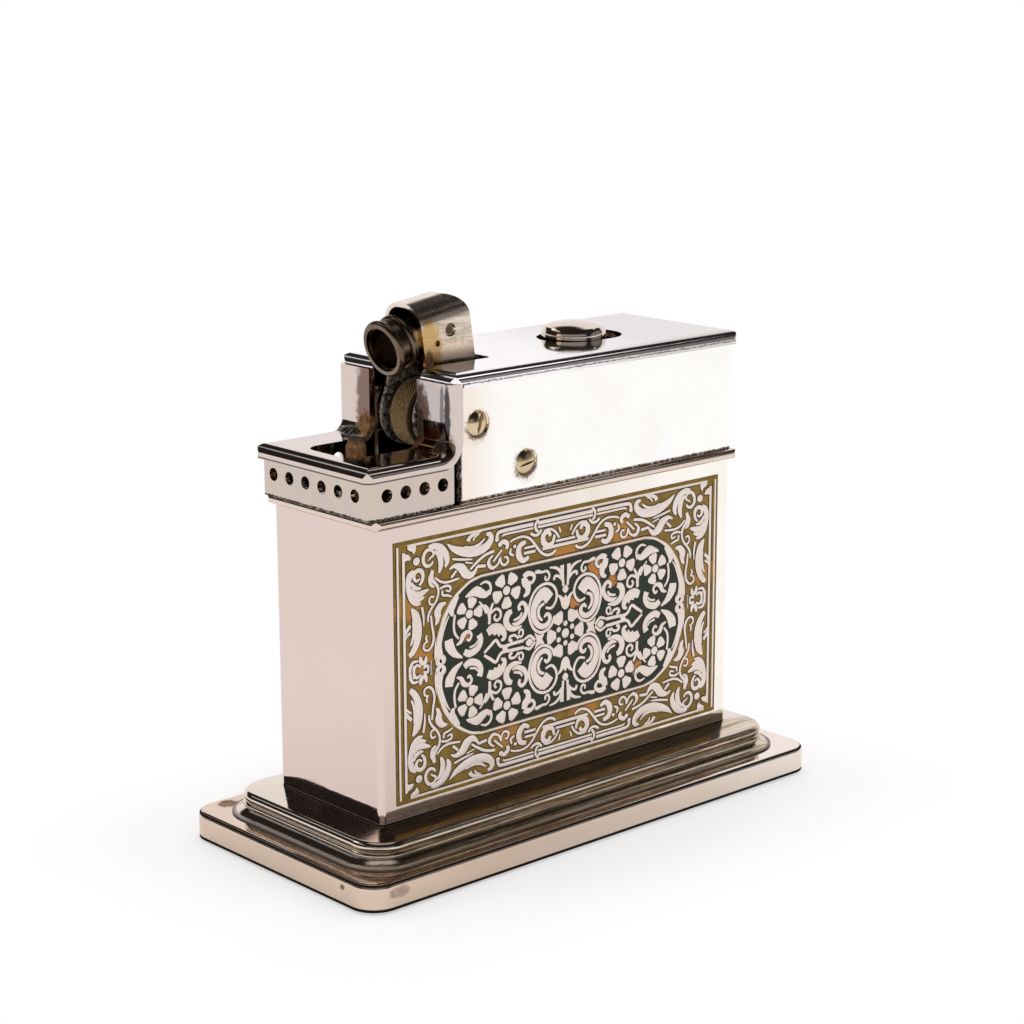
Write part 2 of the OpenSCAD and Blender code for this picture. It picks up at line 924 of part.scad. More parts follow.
module gallery_cover()
{
    bend_x = -riser_x - bend_r;
    bend_z = deck_z + bend_r;
    deck_l = bend_x + cover_front;
    riser_top = top_z - cover_edge_r - 0.05;
    hollow_half = guard_half + 0.07;
    color(nickel)
        difference()
        {
            union()
            {
                intersection()
                {
                    along(-cover_front, bend_x)
                        translate([0, deck_z - cover_skirt])
                            soft_top(2 * cover_half, cover_skirt, cover_edge_r);
                    across(-30, 30)
                        translate([-cover_front + deck_l, deck_z - cover_skirt])
                            soft_top(2 * deck_l, cover_skirt, cover_edge_r);
                    translate([-cover_front + deck_l, 0, 0])
                        linear_extrude(90)
                            round_rect(2 * deck_l, 2 * cover_half, 1.2);
                }
                translate([bend_x, 0, bend_z])
                    rotate([-90, 0, 0])
                        rotate_extrude(angle = 90)
                            translate([bend_r + cover_skirt, 0])
                                rotate([0, 0, 90])
                                    soft_top(2 * cover_half, cover_skirt, cover_edge_r);
                translate([-riser_x + cover_skirt, 0, bend_z])
                    linear_extrude(riser_top - bend_z)
                        rotate([0, 0, 90])
                            soft_top(2 * cover_half, cover_skirt, cover_edge_r);
            }
            block([-guard_front - 0.07, -hollow_half, 0], [bend_x, hollow_half, deck_z - cover_t]);
            translate([bend_x, -hollow_half, bend_z])
                rotate([-90, 0, 0])
                    intersection()
                    {
                        difference()
                        {
                            cylinder(r = bend_r + cover_skirt + 2, h = 2 * hollow_half);
                            cylinder(r = bend_r + cover_t, h = 2 * hollow_half);
                        }
                        translate([-0.01, -0.01, 0])
                            cube([20, 20, 2 * hollow_half]);
                    }
            block([-riser_x + cover_t, -hollow_half, bend_z - 0.01], [0, hollow_half, top_z]);
            arm_cut();
        }
}

// The straight cut through deck, bend, riser and top plate that the arm swings in
module arm_cut()
{
    x0 = -riser_x - flame_l;
    linear_extrude(90)
    {
        translate([x0 + flame_r, -cut_half])
            square([flame_l + riser_x - flame_r - 10, 2 * cut_half]);
        translate([x0, -cut_half + flame_r])
            square([flame_l, 2 * (cut_half - flame_r)]);
        for (s = [-1, 1])
            translate([x0 + flame_r, s * (cut_half - flame_r)])
                circle(flame_r);
    }
}

module top_plate()
{
    length = plate_x1 - plate_x0;
    mid = (plate_x0 + plate_x1) / 2;
    hollow_half = wall_half + 0.1;
    skirt_z = top_z - cover_skirt;
    front_z = top_z - cover_edge_r - 0.05;
    cut_r = 1;
    color(nickel)
        difference()
        {
            intersection()
            {
                along(plate_x0, plate_x1)
                    translate([0, skirt_z])
                        soft_top(2 * cover_half, cover_skirt, cover_edge_r);
                across(-30, 30)
                    translate([mid, skirt_z])
                        soft_top(length, cover_skirt, cover_edge_r);
                translate([mid, 0, 0])
                    linear_extrude(90)
                        round_rect(length, 2 * cover_half, 1.3);
            }
            block([plate_x0 + 1, -hollow_half, 0], [wall_x1 + 0.1, hollow_half, top_under]);
            block([plate_x0 - 1, -30, 0], [plate_x0 + 1.6, 30, front_z]);
            linear_extrude(90)
            {
                translate([plate_x0 - 1, -cut_half])
                    square([arm_cut_l + 1 - cut_r, 2 * cut_half]);
                translate([plate_x0 + arm_cut_l - cut_r - 1, -cut_half + cut_r])
                    square([cut_r + 1, 2 * (cut_half - cut_r)]);
                for (s = [-1, 1])
                    translate([plate_x0 + arm_cut_l - cut_r, s * (cut_half - cut_r)])
                        circle(cut_r);
                stadium(slot_x0, slot_x1, slot_r);
            }
        }
}

// Housing walls
module side_wall()
{
    dip = wall_half - head_seat;
    difference()
    {
        block([wall_x0, -wall_half, lid_z], [wall_x1, -wall_half + wall_t, top_under]);
        rod(ax, az, axle_r + 2 * fit, -20, 0);
        rod(ax, az, head_r + 0.12, -wall_half - 1, -wall_half + dip);
        rod(frame_screw_x, frame_screw_z, screw_r + 2 * fit, -20, 0);
        rod(frame_screw_x, frame_screw_z, head_r + 0.12, -wall_half - 1, -wall_half + dip);
    }
}

module side_wall_near()
{
    color(nickel)
        side_wall();
}

module side_wall_far()
{
    color(nickel)
        mirror([0, 1, 0])
            side_wall();
}

module rear_wall()
{
    color(nickel)
        block([wall_x1 - wall_t, -wall_half + wall_t, lid_z], [wall_x1, wall_half - wall_t, top_under]);
}

// Mechanism frame
module chassis()
{
    color(old_nickel)
        difference()
        {
            union()
            {
                block([chassis_x0, -chassis_half, lid_z],
                    [chassis_x0 + chassis_l, chassis_half, lid_z + chassis_t]);
                for (s = [-1, 1])
                    across(s * (chassis_half - chassis_t / 2) - chassis_t / 2,
                        s * (chassis_half - chassis_t / 2) + chassis_t / 2)
                        cheek_outline();
            }
            post(ax, 0, flint_tube_r + 2 * fit, 0, az - 4);
            rod(ax, az, axle_r + fit, -20, 20);
            rod(frame_screw_x, frame_screw_z, screw_r + fit, -20, 20);
            rod(stud_x, stud_z, stud_r + fit, -20, 20);
        }
}

// Outline of a chassis cheek in (x, z), with its front corner rounded
module cheek_outline()
{
    r = 4;
    translate([chassis_x0, lid_z])
        square([chassis_l, cheek_h - r]);
    translate([chassis_x0 + r, lid_z])
        square([chassis_l - r, cheek_h]);
    translate([chassis_x0 + r, lid_z + cheek_h - r])
        circle(r);
}

module axle_screw()
{
    color(old_nickel)
    {
        wall_head(ax, az, -1, 78);
        rod(ax, az, axle_r, -head_seat, head_seat - 0.9);
    }
}

module axle_nut()
{
    color(old_nickel)
        difference()
        {
            union()
            {
                wall_head(ax, az, 1, 15);
                rod(ax, az, axle_r + 2 * fit - 0.02, head_seat - 0.4, head_seat + 0.01);
            }
            rod(ax, az, axle_r + fit, 0, head_seat - 0.5);
        }
}

module frame_screws()
{
    color(old_nickel)
        for (s = [-1, 1])
        {
            wall_head(frame_screw_x, frame_screw_z, s, s < 0 ? 12 : 60);
            rod(frame_screw_x, frame_screw_z, screw_r,
                s < 0 ? -head_seat : cheek_in - 1, s < 0 ? -cheek_in + 1 : head_seat);
        }
}

module wall_spacers()
{
    outer = head_r + 0.4;
    color(brass)
        for (s = [-1, 1], at = [[ax, az, axle_r], [frame_screw_x, frame_screw_z, screw_r]])
            difference()
            {
                rod(at[0], at[1], outer,
                    s < 0 ? -wall_half + wall_t : chassis_half,
                    s < 0 ? -chassis_half : wall_half - wall_t);
                rod(at[0], at[1], at[2] + fit, -20, 20);
            }
}

module axle_sleeves()
{
    color(brass)
        for (s = [-1, 1])
            difference()
            {
                rod(ax, az, axle_r + 0.8,
                    s < 0 ? -cheek_in : hood_half + run / 2,
                    s < 0 ? -hood_half - run / 2 : cheek_in);
                rod(ax, az, axle_r + fit, -20, 20);
            }
}

module stop_studs()
{
    color(steel)
        for (s = [-1, 1])
        {
            rod(stud_x, stud_z, stud_r,
                s < 0 ? -chassis_half : hood_in - 0.1,
                s < 0 ? -hood_in + 0.1 : chassis_half);
            rod(stud_x, stud_z, stud_r + 0.5,
                s < 0 ? -chassis_half - 0.5 : chassis_half,
                s < 0 ? -chassis_half : chassis_half + 0.5);
        }
}

module slide_guide()
{
    flange = 3.6;
    color(brass)
    {
        block([shelf_x0, -cheek_in, shelf_z1 - shelf_t], [shelf_x1, cheek_in, shelf_z1]);
        for (s = [-1, 1])
            block([shelf_x0, s < 0 ? -cheek_in : cheek_in - shelf_t, shelf_z1 - flange],
                [shelf_x1, s < 0 ? -cheek_in + shelf_t : cheek_in, shelf_z1]);
        block([lug_x0, -2.5, shelf_z1 - shelf_t], [lug_x0 + lug_t, 2.5, carrier_z1 - carrier_t - 0.2]);
    }
}

arm_spring_r = 2.6;
arm_wire_r = 0.25;
arm_spring_y = hood_half + 0.4;
arm_coil = [
    for (i = [0:20])
        [arm_spring_r * sin(45 * i), arm_spring_y + 0.12 * i, -arm_spring_r * cos(45 * i)]];
arm_spring_path = concat(
    [[-5, arm_spring_y, -arm_spring_r], [-2.5, arm_spring_y, -arm_spring_r]],
    arm_coil,
    [[2.5, arm_spring_y + 2.4, arm_spring_r], [6, arm_spring_y + 2.4, arm_spring_r]]);

module arm_spring()
{
    echo("arm spring least gap", least_gap(arm_spring_path, 2 * arm_wire_r));
    color(steel)
        translate([ax, 0, az])
            wire(arm_spring_path, [0, 1, 0], arm_wire_r);
}

// Snuffer arm: drawings in its own frame, u along the short way and w along the arm
module in_arm()
{
    translate([ax, 0, az])
        rotate([0, -arm_lean, 0])
            children();
}

// Side outline of the hood above the legs, shrunk by the sheet where it closes
module hood_side(shrink)
{
    r = hood_back_r - shrink;
    back = hood_l - hood_front - shrink;
    top = hood_top - shrink;
    front = -hood_front - (shrink > 0 ? 1 : 0);
    low = 7.6;
    translate([front, low])
        square([back - r - front, top - low]);
    translate([front, low])
        square([back - front, top - r - low]);
    translate([back - r, top - r])
        circle(r);
}

// Section of the hood in (y, w)
module hood_section(half, top, r)
{
    translate([0, 7])
        soft_top(2 * half, top - 7, r);
}

// Side outline of a leg below the hood, with its hub and latch finger
module leg_side()
{
    back = hood_l - hood_front;
    polygon([[-hood_front, 7.7], [back, 7.7], [back, 6.5], [hub_r - 0.4, 2], [0, 0],
        polar(hub_r - 0.05, 142)]);
    circle(hub_r);
    rotate([0, 0, finger_at - arm_lean])
        translate([0, -finger_w / 2])
            square([finger_r - finger_w / 2, finger_w]);
    rotate([0, 0, finger_at - arm_lean])
        translate([finger_r - finger_w / 2, 0])
            circle(finger_w / 2);
}

module snuffer_hood()
{
    color(nickel)
        difference()
        {
            in_arm()
                union()
                {
                    difference()
                    {
                        intersection()
                        {
                            across(-hood_half, hood_half)
                                hood_side(0);
                            along(-10, 20)
                                hood_section(hood_half, hood_top, hood_edge_r);
                        }
                        intersection()
                        {
                            across(-hood_in, hood_in)
                                hood_side(hood_t);
                            along(-10, 20)
                                hood_section(hood_in, hood_top - hood_t, hood_edge_r - hood_t);
                        }
                    }
                    for (s = [-1, 1])
                        across(s < 0 ? -hood_half : hood_in, s < 0 ? -hood_in : hood_half)
                            leg_side();
                }
            rod(ax, az, axle_r + fit, -20, 20);
            pin_rods(-20, 20, fit);
            in_arm()
                rod(pawl_u, pawl_w, pawl_pin_r + fit, 0, 20);
            for (s = [-1, 1])
                translate([pin_x, s * hood_half, pin_z])
                    rotate([90 * s, 0, 0])
                        translate([0, 0, -0.2])
                            cylinder(r1 = pin_r + 0.55, r2 = pin_r + 0.1, h = 0.45);
        }
}

// Cross pins: the large one through the socket, the small one through the cup's floor
pin_x = ax + 1.6;
pin_z = az + 12.2;
small_pin_x = ax - 0.8;
small_pin_z = az + 10.5;

module pin_rods(y0, y1, grow)
{
    rod(pin_x, pin_z, pin_r + grow, y0, y1);
    rod(small_pin_x, small_pin_z, small_pin_r + grow, y0, y1);
}

// Places a drawing on the cup's axis, its mouth at the origin and its depth along +Z
module on_cup()
{
    translate([ax - mouth_x, 0, az + mouth_z])
        rotate([0, 90 - cup_slant, 0])
            children();
}

module snuffer_barrel()
{
    lip = 0.55;
    ring = 0.6;
    ring_at = 3.05;
    color(bronze)
        difference()
        {
            on_cup()
                rotate_extrude()
                    difference()
                    {
                        union()
                        {
                            square([cup_r, cup_l]);
                            square([cup_r + 0.22, ring_at + 0.4]);
                            translate([lip_r - lip, lip])
                                circle(lip);
                            translate([cup_r, 0])
                                square([lip_r - cup_r - lip, 2 * lip]);
                            translate([lip_r - 0.1 - ring, ring_at])
                                circle(ring);
                        }
                        translate([0, -1])
                            square([cup_bore_r, cup_floor + 1]);
                        translate([0, -1])
                            square([cup_bore_r + 0.25, 1.6]);
                    }
            pin_rods(-20, 20, fit);
            on_cup()
                translate([0, 0, cup_floor - 1])
                    cylinder(r = 0.8, h = cup_l);
        }
}

module barrel_pad()
{
    color(black)
        on_cup()
            translate([0, 0, cup_floor - 0.6])
                cylinder(r = cup_bore_r - 0.1, h = 0.6);
}

module barrel_socket()
{
    color(bronze)
        difference()
        {
            on_cup()
                union()
                {
                    translate([-1.6, -hood_in + 0.15, cup_l])
                        cube([3.2, 2 * hood_in - 0.3, socket_l - 1.6]);
                    translate([0, 0, cup_floor + 0.1])
                        cylinder(r = 0.75, h = cup_l - cup_floor);
                }
            pin_rods(-20, 20, fit);
        }
}

module cross_pins()
{
    color(steel)
        pin_rods(-hood_half + 0.3, hood_half - 0.3, 0);
}

// Pawl
module pawl_pin()
{
    color(steel)
        in_arm()
            rod(pawl_u, pawl_w, pawl_pin_r, wheel_half - 0.6, hood_half);
}

module pawl()
{
    tip = polar(ratchet_r - ratchet_d + 0.2, tooth_at + 1.6);
    heel = polar(ratchet_r + 0.55, tooth_at + 1);
    belly = polar(ratchet_r + 0.2, tooth_at + 12);
    color(steel)
        in_arm()
            difference()
            {
                across(pawl_y0, pawl_y1)
                {
                    polygon([tip, heel, [pawl_u + 0.95, pawl_w + 0.2], [pawl_u - 0.85, pawl_w - 0.4], belly]);
                    translate([pawl_u, pawl_w])
                        circle(1);
                }
                rod(pawl_u, pawl_w, pawl_pin_r + fit, -20, 20);
            }
}

module pawl_spring()
{
    color(steel)
        in_arm()
            across(pawl_y0, pawl_y1)
                polygon([[4.35, 10.12], [4.65, 10.12], [4.05, 5.2], [3.8, 5.2]]);
}

// Wheel
function saw_tooth(i) = [
    polar(ratchet_r, tooth_at + arm_lean + i * tooth_step - 0.6),
    polar(ratchet_r - ratchet_d, tooth_at + arm_lean + i * tooth_step)];

module flint_wheel()
{
    step = 360 / knurl_n;
    color(steel)
        difference()
        {
            translate([ax, 0, az])
                across(-wheel_half, wheel_half)
                    polygon([
                        for (i = [0:knurl_n - 1], half = [0, 1])
                            polar(wheel_r - half * knurl_d, step * (i + half / 2))]);
            rod(ax, az, axle_r + fit, -20, 20);
        }
}

module ratchet_disc()
{
    color(steel)
        difference()
        {
            translate([ax, 0, az])
                across(wheel_half, wheel_half + ratchet_t)
                    polygon([
                        for (i = [0:ratchet_n - 1], k = [0, 1])
                            saw_tooth(i)[k]]);
            rod(ax, az, axle_r + fit, -20, 20);
        }
}

// Release button
module button_cap()
{
    h = top_z + button_rise - carrier_z1;
    color(nickel)
        difference()
        {
            translate([button_x, 0, carrier_z1])
                rotate_extrude()
                    intersection()
                    {
                        soft_top(2 * button_r, h, button_edge_r);
                        square([button_r, h]);
                        translate([0, h - button_dome_r])
                            circle(button_dome_r, $fn = 256);
                    }
            post(button_x, 0, 1 + fit, 0, top_z + button_rise - 1.3);
        }
}

module button_carrier()
{
    color(brass)
        difference()
        {
            translate([0, 0, carrier_z1 - carrier_t])
                linear_extrude(carrier_t)
                    stadium(slot_x0 - button_travel, slot_x1, carrier_half);
            post(button_x, 0, 1 + fit, 0, top_z);
        }
}

module latch_bar()
{
    color(steel)
        difference()
        {
            union()
            {
                block([nose_x0, -2.2, bar_z0], [bar_x1, 2.2, bar_z1]);
                block([nose_x0, -nose_half, bar_z0], [nose_x0 + nose_l, nose_half, bar_z1]);
                block([button_x - 2.6, -2.2, bar_z0], [bar_x1, 2.2, carrier_z1 - carrier_t]);
            }
            post(button_x, 0, 1 + fit, 0, top_z);
            post(button_x, 0, 1.7, 0, bar_z0 + 0.7);
        }
}

module button_screw()
{
    color(steel)
        difference()
        {
            union()
            {
                post(button_x, 0, 1.6, bar_z0, bar_z0 + 0.7);
                post(button_x, 0, 1, bar_z0, top_z + button_rise - 1.5);
            }
            block([button_x - 3, -0.25, 0], [button_x + 3, 0.25, bar_z0 + 0.35]);
        }
}

button_spring_r = 1.1;
button_wire_r = 0.2;
button_curls = 8;
button_spring_l = lug_x0 - bar_x1 - 0.4;
button_spring_z = (shelf_z1 + carrier_z1 - carrier_t) / 2;
button_path = helix(button_spring_r, (button_spring_l - 2 * button_wire_r) / button_curls, button_curls);

module button_spring()
{
    echo("button spring least gap", least_gap(button_path, 2 * button_wire_r));
    color(steel)
        translate([bar_x1 + 0.2 + button_wire_r, 0, button_spring_z])
            rotate([0, 90, 0])
                wire(button_path, [0, 0, 1], button_wire_r);
}

base_felt();
base_plinth();
base_moulding();
base_screws();
tank_shell();
tank_floor();
tank_lid();
enamel_near();
enamel_far();
wadding();
wick_tube();
wick();
filler_neck();
filler_screw();
filler_washer();
flint_tube();
flint();
flint_spring();
flint_screw();
gallery();
gallery_cover();
top_plate();
side_wall_near();
side_wall_far();
rear_wall();
chassis();
axle_screw();
axle_nut();
frame_screws();
wall_spacers();
axle_sleeves();
stop_studs();
slide_guide();
arm_spring();
snuffer_hood();
snuffer_barrel();
barrel_pad();
barrel_socket();
cross_pins();
pawl_pin();
pawl();
pawl_spring();
flint_wheel();
ratchet_disc();
button_cap();
button_carrier();
latch_bar();
button_screw();
button_spring();
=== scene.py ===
"""Table lighter: plated housing, enamelled tank, wick, springs and wheel, dressed for the camera.

Lengths are written in millimetres and become metres in one place, MM.
X runs along the lighter away from the wick, -Y is the near long side and Z is up.
"""
import math

import bpy
from mathutils import Matrix, Vector, noise


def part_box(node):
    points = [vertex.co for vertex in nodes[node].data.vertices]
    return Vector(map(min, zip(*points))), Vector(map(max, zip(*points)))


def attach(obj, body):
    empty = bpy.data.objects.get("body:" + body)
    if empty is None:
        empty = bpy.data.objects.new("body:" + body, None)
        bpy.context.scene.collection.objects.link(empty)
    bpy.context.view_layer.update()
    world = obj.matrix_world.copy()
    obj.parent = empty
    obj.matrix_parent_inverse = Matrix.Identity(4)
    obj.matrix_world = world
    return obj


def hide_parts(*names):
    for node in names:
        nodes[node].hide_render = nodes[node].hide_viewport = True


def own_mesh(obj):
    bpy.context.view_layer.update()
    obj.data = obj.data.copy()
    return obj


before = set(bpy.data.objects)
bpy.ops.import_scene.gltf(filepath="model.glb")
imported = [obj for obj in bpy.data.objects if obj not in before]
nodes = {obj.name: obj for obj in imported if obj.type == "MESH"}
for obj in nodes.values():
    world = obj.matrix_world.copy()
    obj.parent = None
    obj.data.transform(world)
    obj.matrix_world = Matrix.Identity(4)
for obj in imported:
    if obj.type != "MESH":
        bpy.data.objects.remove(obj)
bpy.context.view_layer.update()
MM = 0.001

# sizes of the lighter that its dressing follows, in millimetres
TANK_HALF_W = 11.75
PANEL_T = 0.12
PANEL_MID_Z = 29.55
CARTOUCHE_HALF = (24.9, 11.9)
CARTOUCHE_R = 8.39
AXLE_X = -16.6
AXLE_Z = 63.2
WICK_X = -29.2
FOOT_HALF = (45.0, 21.5)
FILLER_X = 8.0
FELT_SOLE = 0.08  # the felt stays flat below this height
RUFFLE_SINK = 0.6  # noise at which a soft surface stays where it was
MERGE_REACH = 1e-7  # metres within which two points are one


def mm_box(node):
    """lowest and highest corner of a CAD node in millimetres"""
    low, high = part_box(node)
    return low / MM, high / MM


# camera, light and floor

# the camera that took the photograph, worked out from the picture
CAMERA_DEGREES = (-41.946, 13.477, -0.163)  # azimuth, elevation, roll
CAMERA_PLACE = (-234.02, -260.62, 129.73)
FOCAL_PIXELS, PICTURE_PIXELS, SENSOR_WIDTH = 2410.3, 1024, 36


def set_camera():
    azimuth, elevation, roll = (math.radians(angle) for angle in CAMERA_DEGREES)
    back = Vector((math.sin(azimuth) * math.cos(elevation),
                   -math.cos(azimuth) * math.cos(elevation),
                   math.sin(elevation)))
    level = Vector((math.cos(azimuth), math.sin(azimuth), 0))
    up = back.cross(level)
    right = level * math.cos(roll) + up * math.sin(roll)
    above = up * math.cos(roll) - level * math.sin(roll)
    data = bpy.data.cameras.new("view_camera")
    data.lens = FOCAL_PIXELS / PICTURE_PIXELS * SENSOR_WIDTH
    data.sensor_width = SENSOR_WIDTH
    data.clip_start = 0.01
    data.clip_end = 30
    camera = bpy.data.objects.new("view_camera", data)
    place = Matrix((right, above, back)).transposed().to_4x4()
    place.translation = Vector(CAMERA_PLACE) * MM
    camera.matrix_world = place
    bpy.context.scene.collection.objects.link(camera)
    bpy.context.scene.camera = camera


# the plate mirrors two bright spots in these directions, in place of the lamps themselves
RIGHT_LAMP = (0.65, -0.42, 0.63)
LEFT_LAMP = (-0.488, 0.602, 0.63)
AIM_HEIGHT = 0.04  # the lamps look at a point this far above the floor, in metres


def soft_box(name, toward, distance, size, power):
    """rectangular lamp that looks at the lighter from a direction; the plate doesn't mirror it"""
    data = bpy.data.lights.new(name, "AREA")
    data.shape = "RECTANGLE"
    data.size, data.size_y = size
    data.energy = power
    lamp = bpy.data.objects.new(name, data)
    lamp.visible_glossy = False
    aim = Vector(toward).normalized()
    lamp.location = aim * distance + Vector((0, 0, AIM_HEIGHT))
    lamp.rotation_euler = aim.to_track_quat("Z", "Y").to_euler()
    bpy.context.scene.collection.objects.link(lamp)


class Bench:
    """node tree of one finish or of the studio, with short names for the nodes they share"""

    def __init__(self, tree):
        self.tree = tree
        self.coords = None
        self.split = None

    def add(self, kind, values=None, **settings):
        node = self.tree.nodes.new("ShaderNode" + kind)
        for key, value in settings.items():
            setattr(node, key, value)
        for key, value in (values or {}).items():
            self.feed(node.inputs[key], value)
        return node

    def feed(self, socket, value):
        if isinstance(value, bpy.types.NodeSocket):
            self.tree.links.new(value, socket)
        elif socket.type == "RGBA" and len(value) == 3:
            socket.default_value = (*value, 1)
        else:
            socket.default_value = value

    def sum(self, kind, a, b=0.0, c=0.0):
        return self.add("Math", {0: a, 1: b, 2: c}, operation=kind).outputs[0]

    def times(self, *factors):
        product = factors[0]
        for factor in factors[1:]:
            product = self.sum("MULTIPLY", product, factor)
        return product

    def most(self, a, b):
        return self.sum("MAXIMUM", a, b)

    def vector(self, kind, a, b=(0, 0, 0)):
        return self.add("VectorMath", {0: a, 1: b}, operation=kind).outputs[0]

    def length(self, vector):
        return self.add("VectorMath", {0: vector}, operation="LENGTH").outputs["Value"]

    def mix(self, share, first, second):
        return self.add("Mix", {0: share, 6: first, 7: second}, data_type="RGBA", blend_type="MIX").outputs[2]

    def ramp(self, value, low, high, to_low=0.0, to_high=1.0):
        node = self.add("MapRange", {0: value, 1: low, 2: high, 3: to_low, 4: to_high})
        node.interpolation_type = "SMOOTHSTEP"
        return node.outputs[0]

    def here(self):
        """place on the lighter in metres"""
        if self.coords is None:
            self.coords = self.add("TexCoord").outputs["Object"]
        return self.coords

    def axes(self):
        if self.split is None:
            self.split = self.add("SeparateXYZ", {0: self.here()}).outputs
        return self.split

    def grain(self, size_mm, detail=3.0, rough=0.5, scale=(1, 1, 1), twist=0.0):
        """noise whose lumps are about size_mm across"""
        place = self.add("Mapping", {0: self.here(), 3: scale}).outputs[0]
        node = self.add("TexNoise", {"Vector": place, "Scale": 1 / (size_mm * MM),
                                     "Detail": detail, "Roughness": rough, "Distortion": twist})
        return node.outputs[0]

    def fray(self, size_mm, detail, reach):
        """noise about zero that makes an edge uneven"""
        return self.times(self.sum("SUBTRACT", self.grain(size_mm, detail, 0.7), 0.5), reach)

    def spot(self, centre, radii, ragged):
        """1 inside an egg-shaped patch with a ragged edge, 0 outside"""
        radii = [r * MM for r in radii]
        moved = self.vector("SUBTRACT", self.here(), [c * MM for c in centre])
        reach = self.length(self.vector("DIVIDE", moved, radii))
        return self.ramp(self.sum("ADD", reach, ragged), 1.15, 0.75)

    def band(self, axis, middle, half, soft, wobble=None):
        """1 where the X, Y or Z place lies within half of middle, its edges made uneven by wobble"""
        away = self.sum("SUBTRACT", self.axes()[axis], middle * MM)
        if wobble is not None:
            away = self.sum("ADD", away, wobble)
        return self.ramp(self.sum("ABSOLUTE", away), (half + soft) * MM, max(half - soft, 0) * MM)


def new_finish(name):
    material = bpy.data.materials.new(name)
    material.use_nodes = True
    bench = Bench(material.node_tree)
    shader = material.node_tree.nodes["Principled BSDF"]
    return material, bench, shader


def dent(bench, shader, height, depth_mm):
    bump = bench.add("Bump", {"Height": height, "Distance": depth_mm * MM, "Strength": 1.0})
    bench.feed(shader.inputs["Normal"], bump.outputs[0])


WHITE = (1.0, 1.0, 1.0)
ROOM_LIGHT = (0.98, 0.98, 0.98)
SCREEN_WHITE = (1.0, 0.985, 0.99)
DARK_AIR = (0.022, 0.019, 0.018)
LAMP_GLOW = (1.6, 1.6, 1.6)


def set_studio():
    """white room for the eye; the plate mirrors a pale screen ahead, dark air above and small bright lamps"""
    world = bpy.data.worlds.new("studio")
    bpy.context.scene.world = world
    world.use_nodes = True
    bench = Bench(world.node_tree)
    way = bench.add("TexCoord").outputs["Generated"]
    rise = bench.add("SeparateXYZ", {0: way}).outputs[2]

    def toward(direction):
        return bench.add("VectorMath", {0: way, 1: direction}, operation="DOT_PRODUCT").outputs["Value"]

    ahead, aside = toward((0.668, 0.743, 0)), toward((0.744, -0.668, 0))
    below_edge = bench.sum("SUBTRACT", bench.sum("MULTIPLY_ADD", aside, 0.5, 0.62), rise)
    # strength and edges of the pale cards: near, left, right, overhead and down at the table's edge
    cards = (
        (0.3, bench.ramp(ahead, -0.62, -0.8), bench.ramp(rise, 0.42, 0.30), bench.ramp(rise, 0.06, 0.12)),
        (0.75, bench.ramp(aside, -0.66, -0.74), bench.ramp(rise, 0.51, 0.56), bench.ramp(rise, 0.68, 0.63)),
        (0.2, bench.ramp(aside, 0.84, 0.94), bench.ramp(rise, 0.50, 0.32)),
        (0.5, bench.ramp(rise, 0.90, 0.97)),
        (1.0, bench.ramp(rise, 0.03, 0.0)),
    )
    pale = bench.times(bench.ramp(ahead, 0.45, 0.62), bench.ramp(below_edge, -0.04, 0.04))
    for strength, *edges in cards:
        pale = bench.most(pale, bench.times(*edges, strength))
    mirror = bench.mix(pale, DARK_AIR, SCREEN_WHITE)
    right_glint = bench.ramp(toward(RIGHT_LAMP), 0.993, 0.998)
    left_glint = bench.ramp(toward(LEFT_LAMP), 0.985, 0.993)
    mirror = bench.mix(bench.most(right_glint, left_glint), mirror, LAMP_GLOW)
    rays = bench.add("LightPath").outputs
    seen = bench.mix(rays["Is Diffuse Ray"], mirror, ROOM_LIGHT)
    seen = bench.mix(bench.most(rays["Is Camera Ray"], rays["Is Transmission Ray"]), seen, WHITE)
    bench.feed(world.node_tree.nodes["Background"].inputs["Color"], seen)
    soft_box("right_soft_box", (0.65, -0.42, 0.66), 1.0, (0.62, 0.34), 1.0)
    soft_box("left_soft_box", LEFT_LAMP, 1.0, (0.42, 0.30), 0.8)


def lay_floor():
    """white paper to the eye and to the plate, with the lighter's soft shadow round its foot"""
    bpy.ops.object.select_all(action="DESELECT")
    bpy.ops.mesh.primitive_circle_add(vertices=64, radius=9, fill_type="NGON", location=(0, 0, 0))
    floor = bpy.context.object
    floor.name = "floor"
    material, bench, shader = new_finish("paper_floor")
    tooth = bench.grain(3.0, 4)
    bench.feed(shader.inputs["Base Color"], bench.mix(tooth, (0.985, 0.97, 0.96), (0.995, 0.985, 0.975)))
    bench.feed(shader.inputs["Roughness"], bench.ramp(tooth, 0.2, 0.8, 0.75, 0.85))
    shader.inputs["Specular IOR Level"].default_value = 0.1
    far_off = bench.length(bench.here())
    folded = bench.vector("ABSOLUTE", bench.here())
    beyond = bench.vector("SUBTRACT", folded, (FOOT_HALF[0] * MM, FOOT_HALF[1] * MM, 0))
    from_foot = bench.length(bench.vector("MAXIMUM", beyond))
    white = bench.add("Emission", {"Color": WHITE, "Strength": 1.0})
    rays = bench.add("LightPath").outputs
    by_eye = bench.times(rays["Is Camera Ray"], bench.ramp(from_foot, 0.001, 0.032, 0.5, 1.0))
    by_plate = bench.most(rays["Is Glossy Ray"], rays["Is Transmission Ray"])
    by_plate = bench.times(by_plate, bench.ramp(far_off, 0.06, 0.15))
    share = bench.most(by_eye, by_plate)
    joined = bench.add("MixShader", {0: share, 1: shader.outputs[0], 2: white.outputs[0]})
    bench.feed(material.node_tree.nodes["Material Output"].inputs["Surface"], joined.outputs[0])
    floor.data.materials.append(material)


# finishes

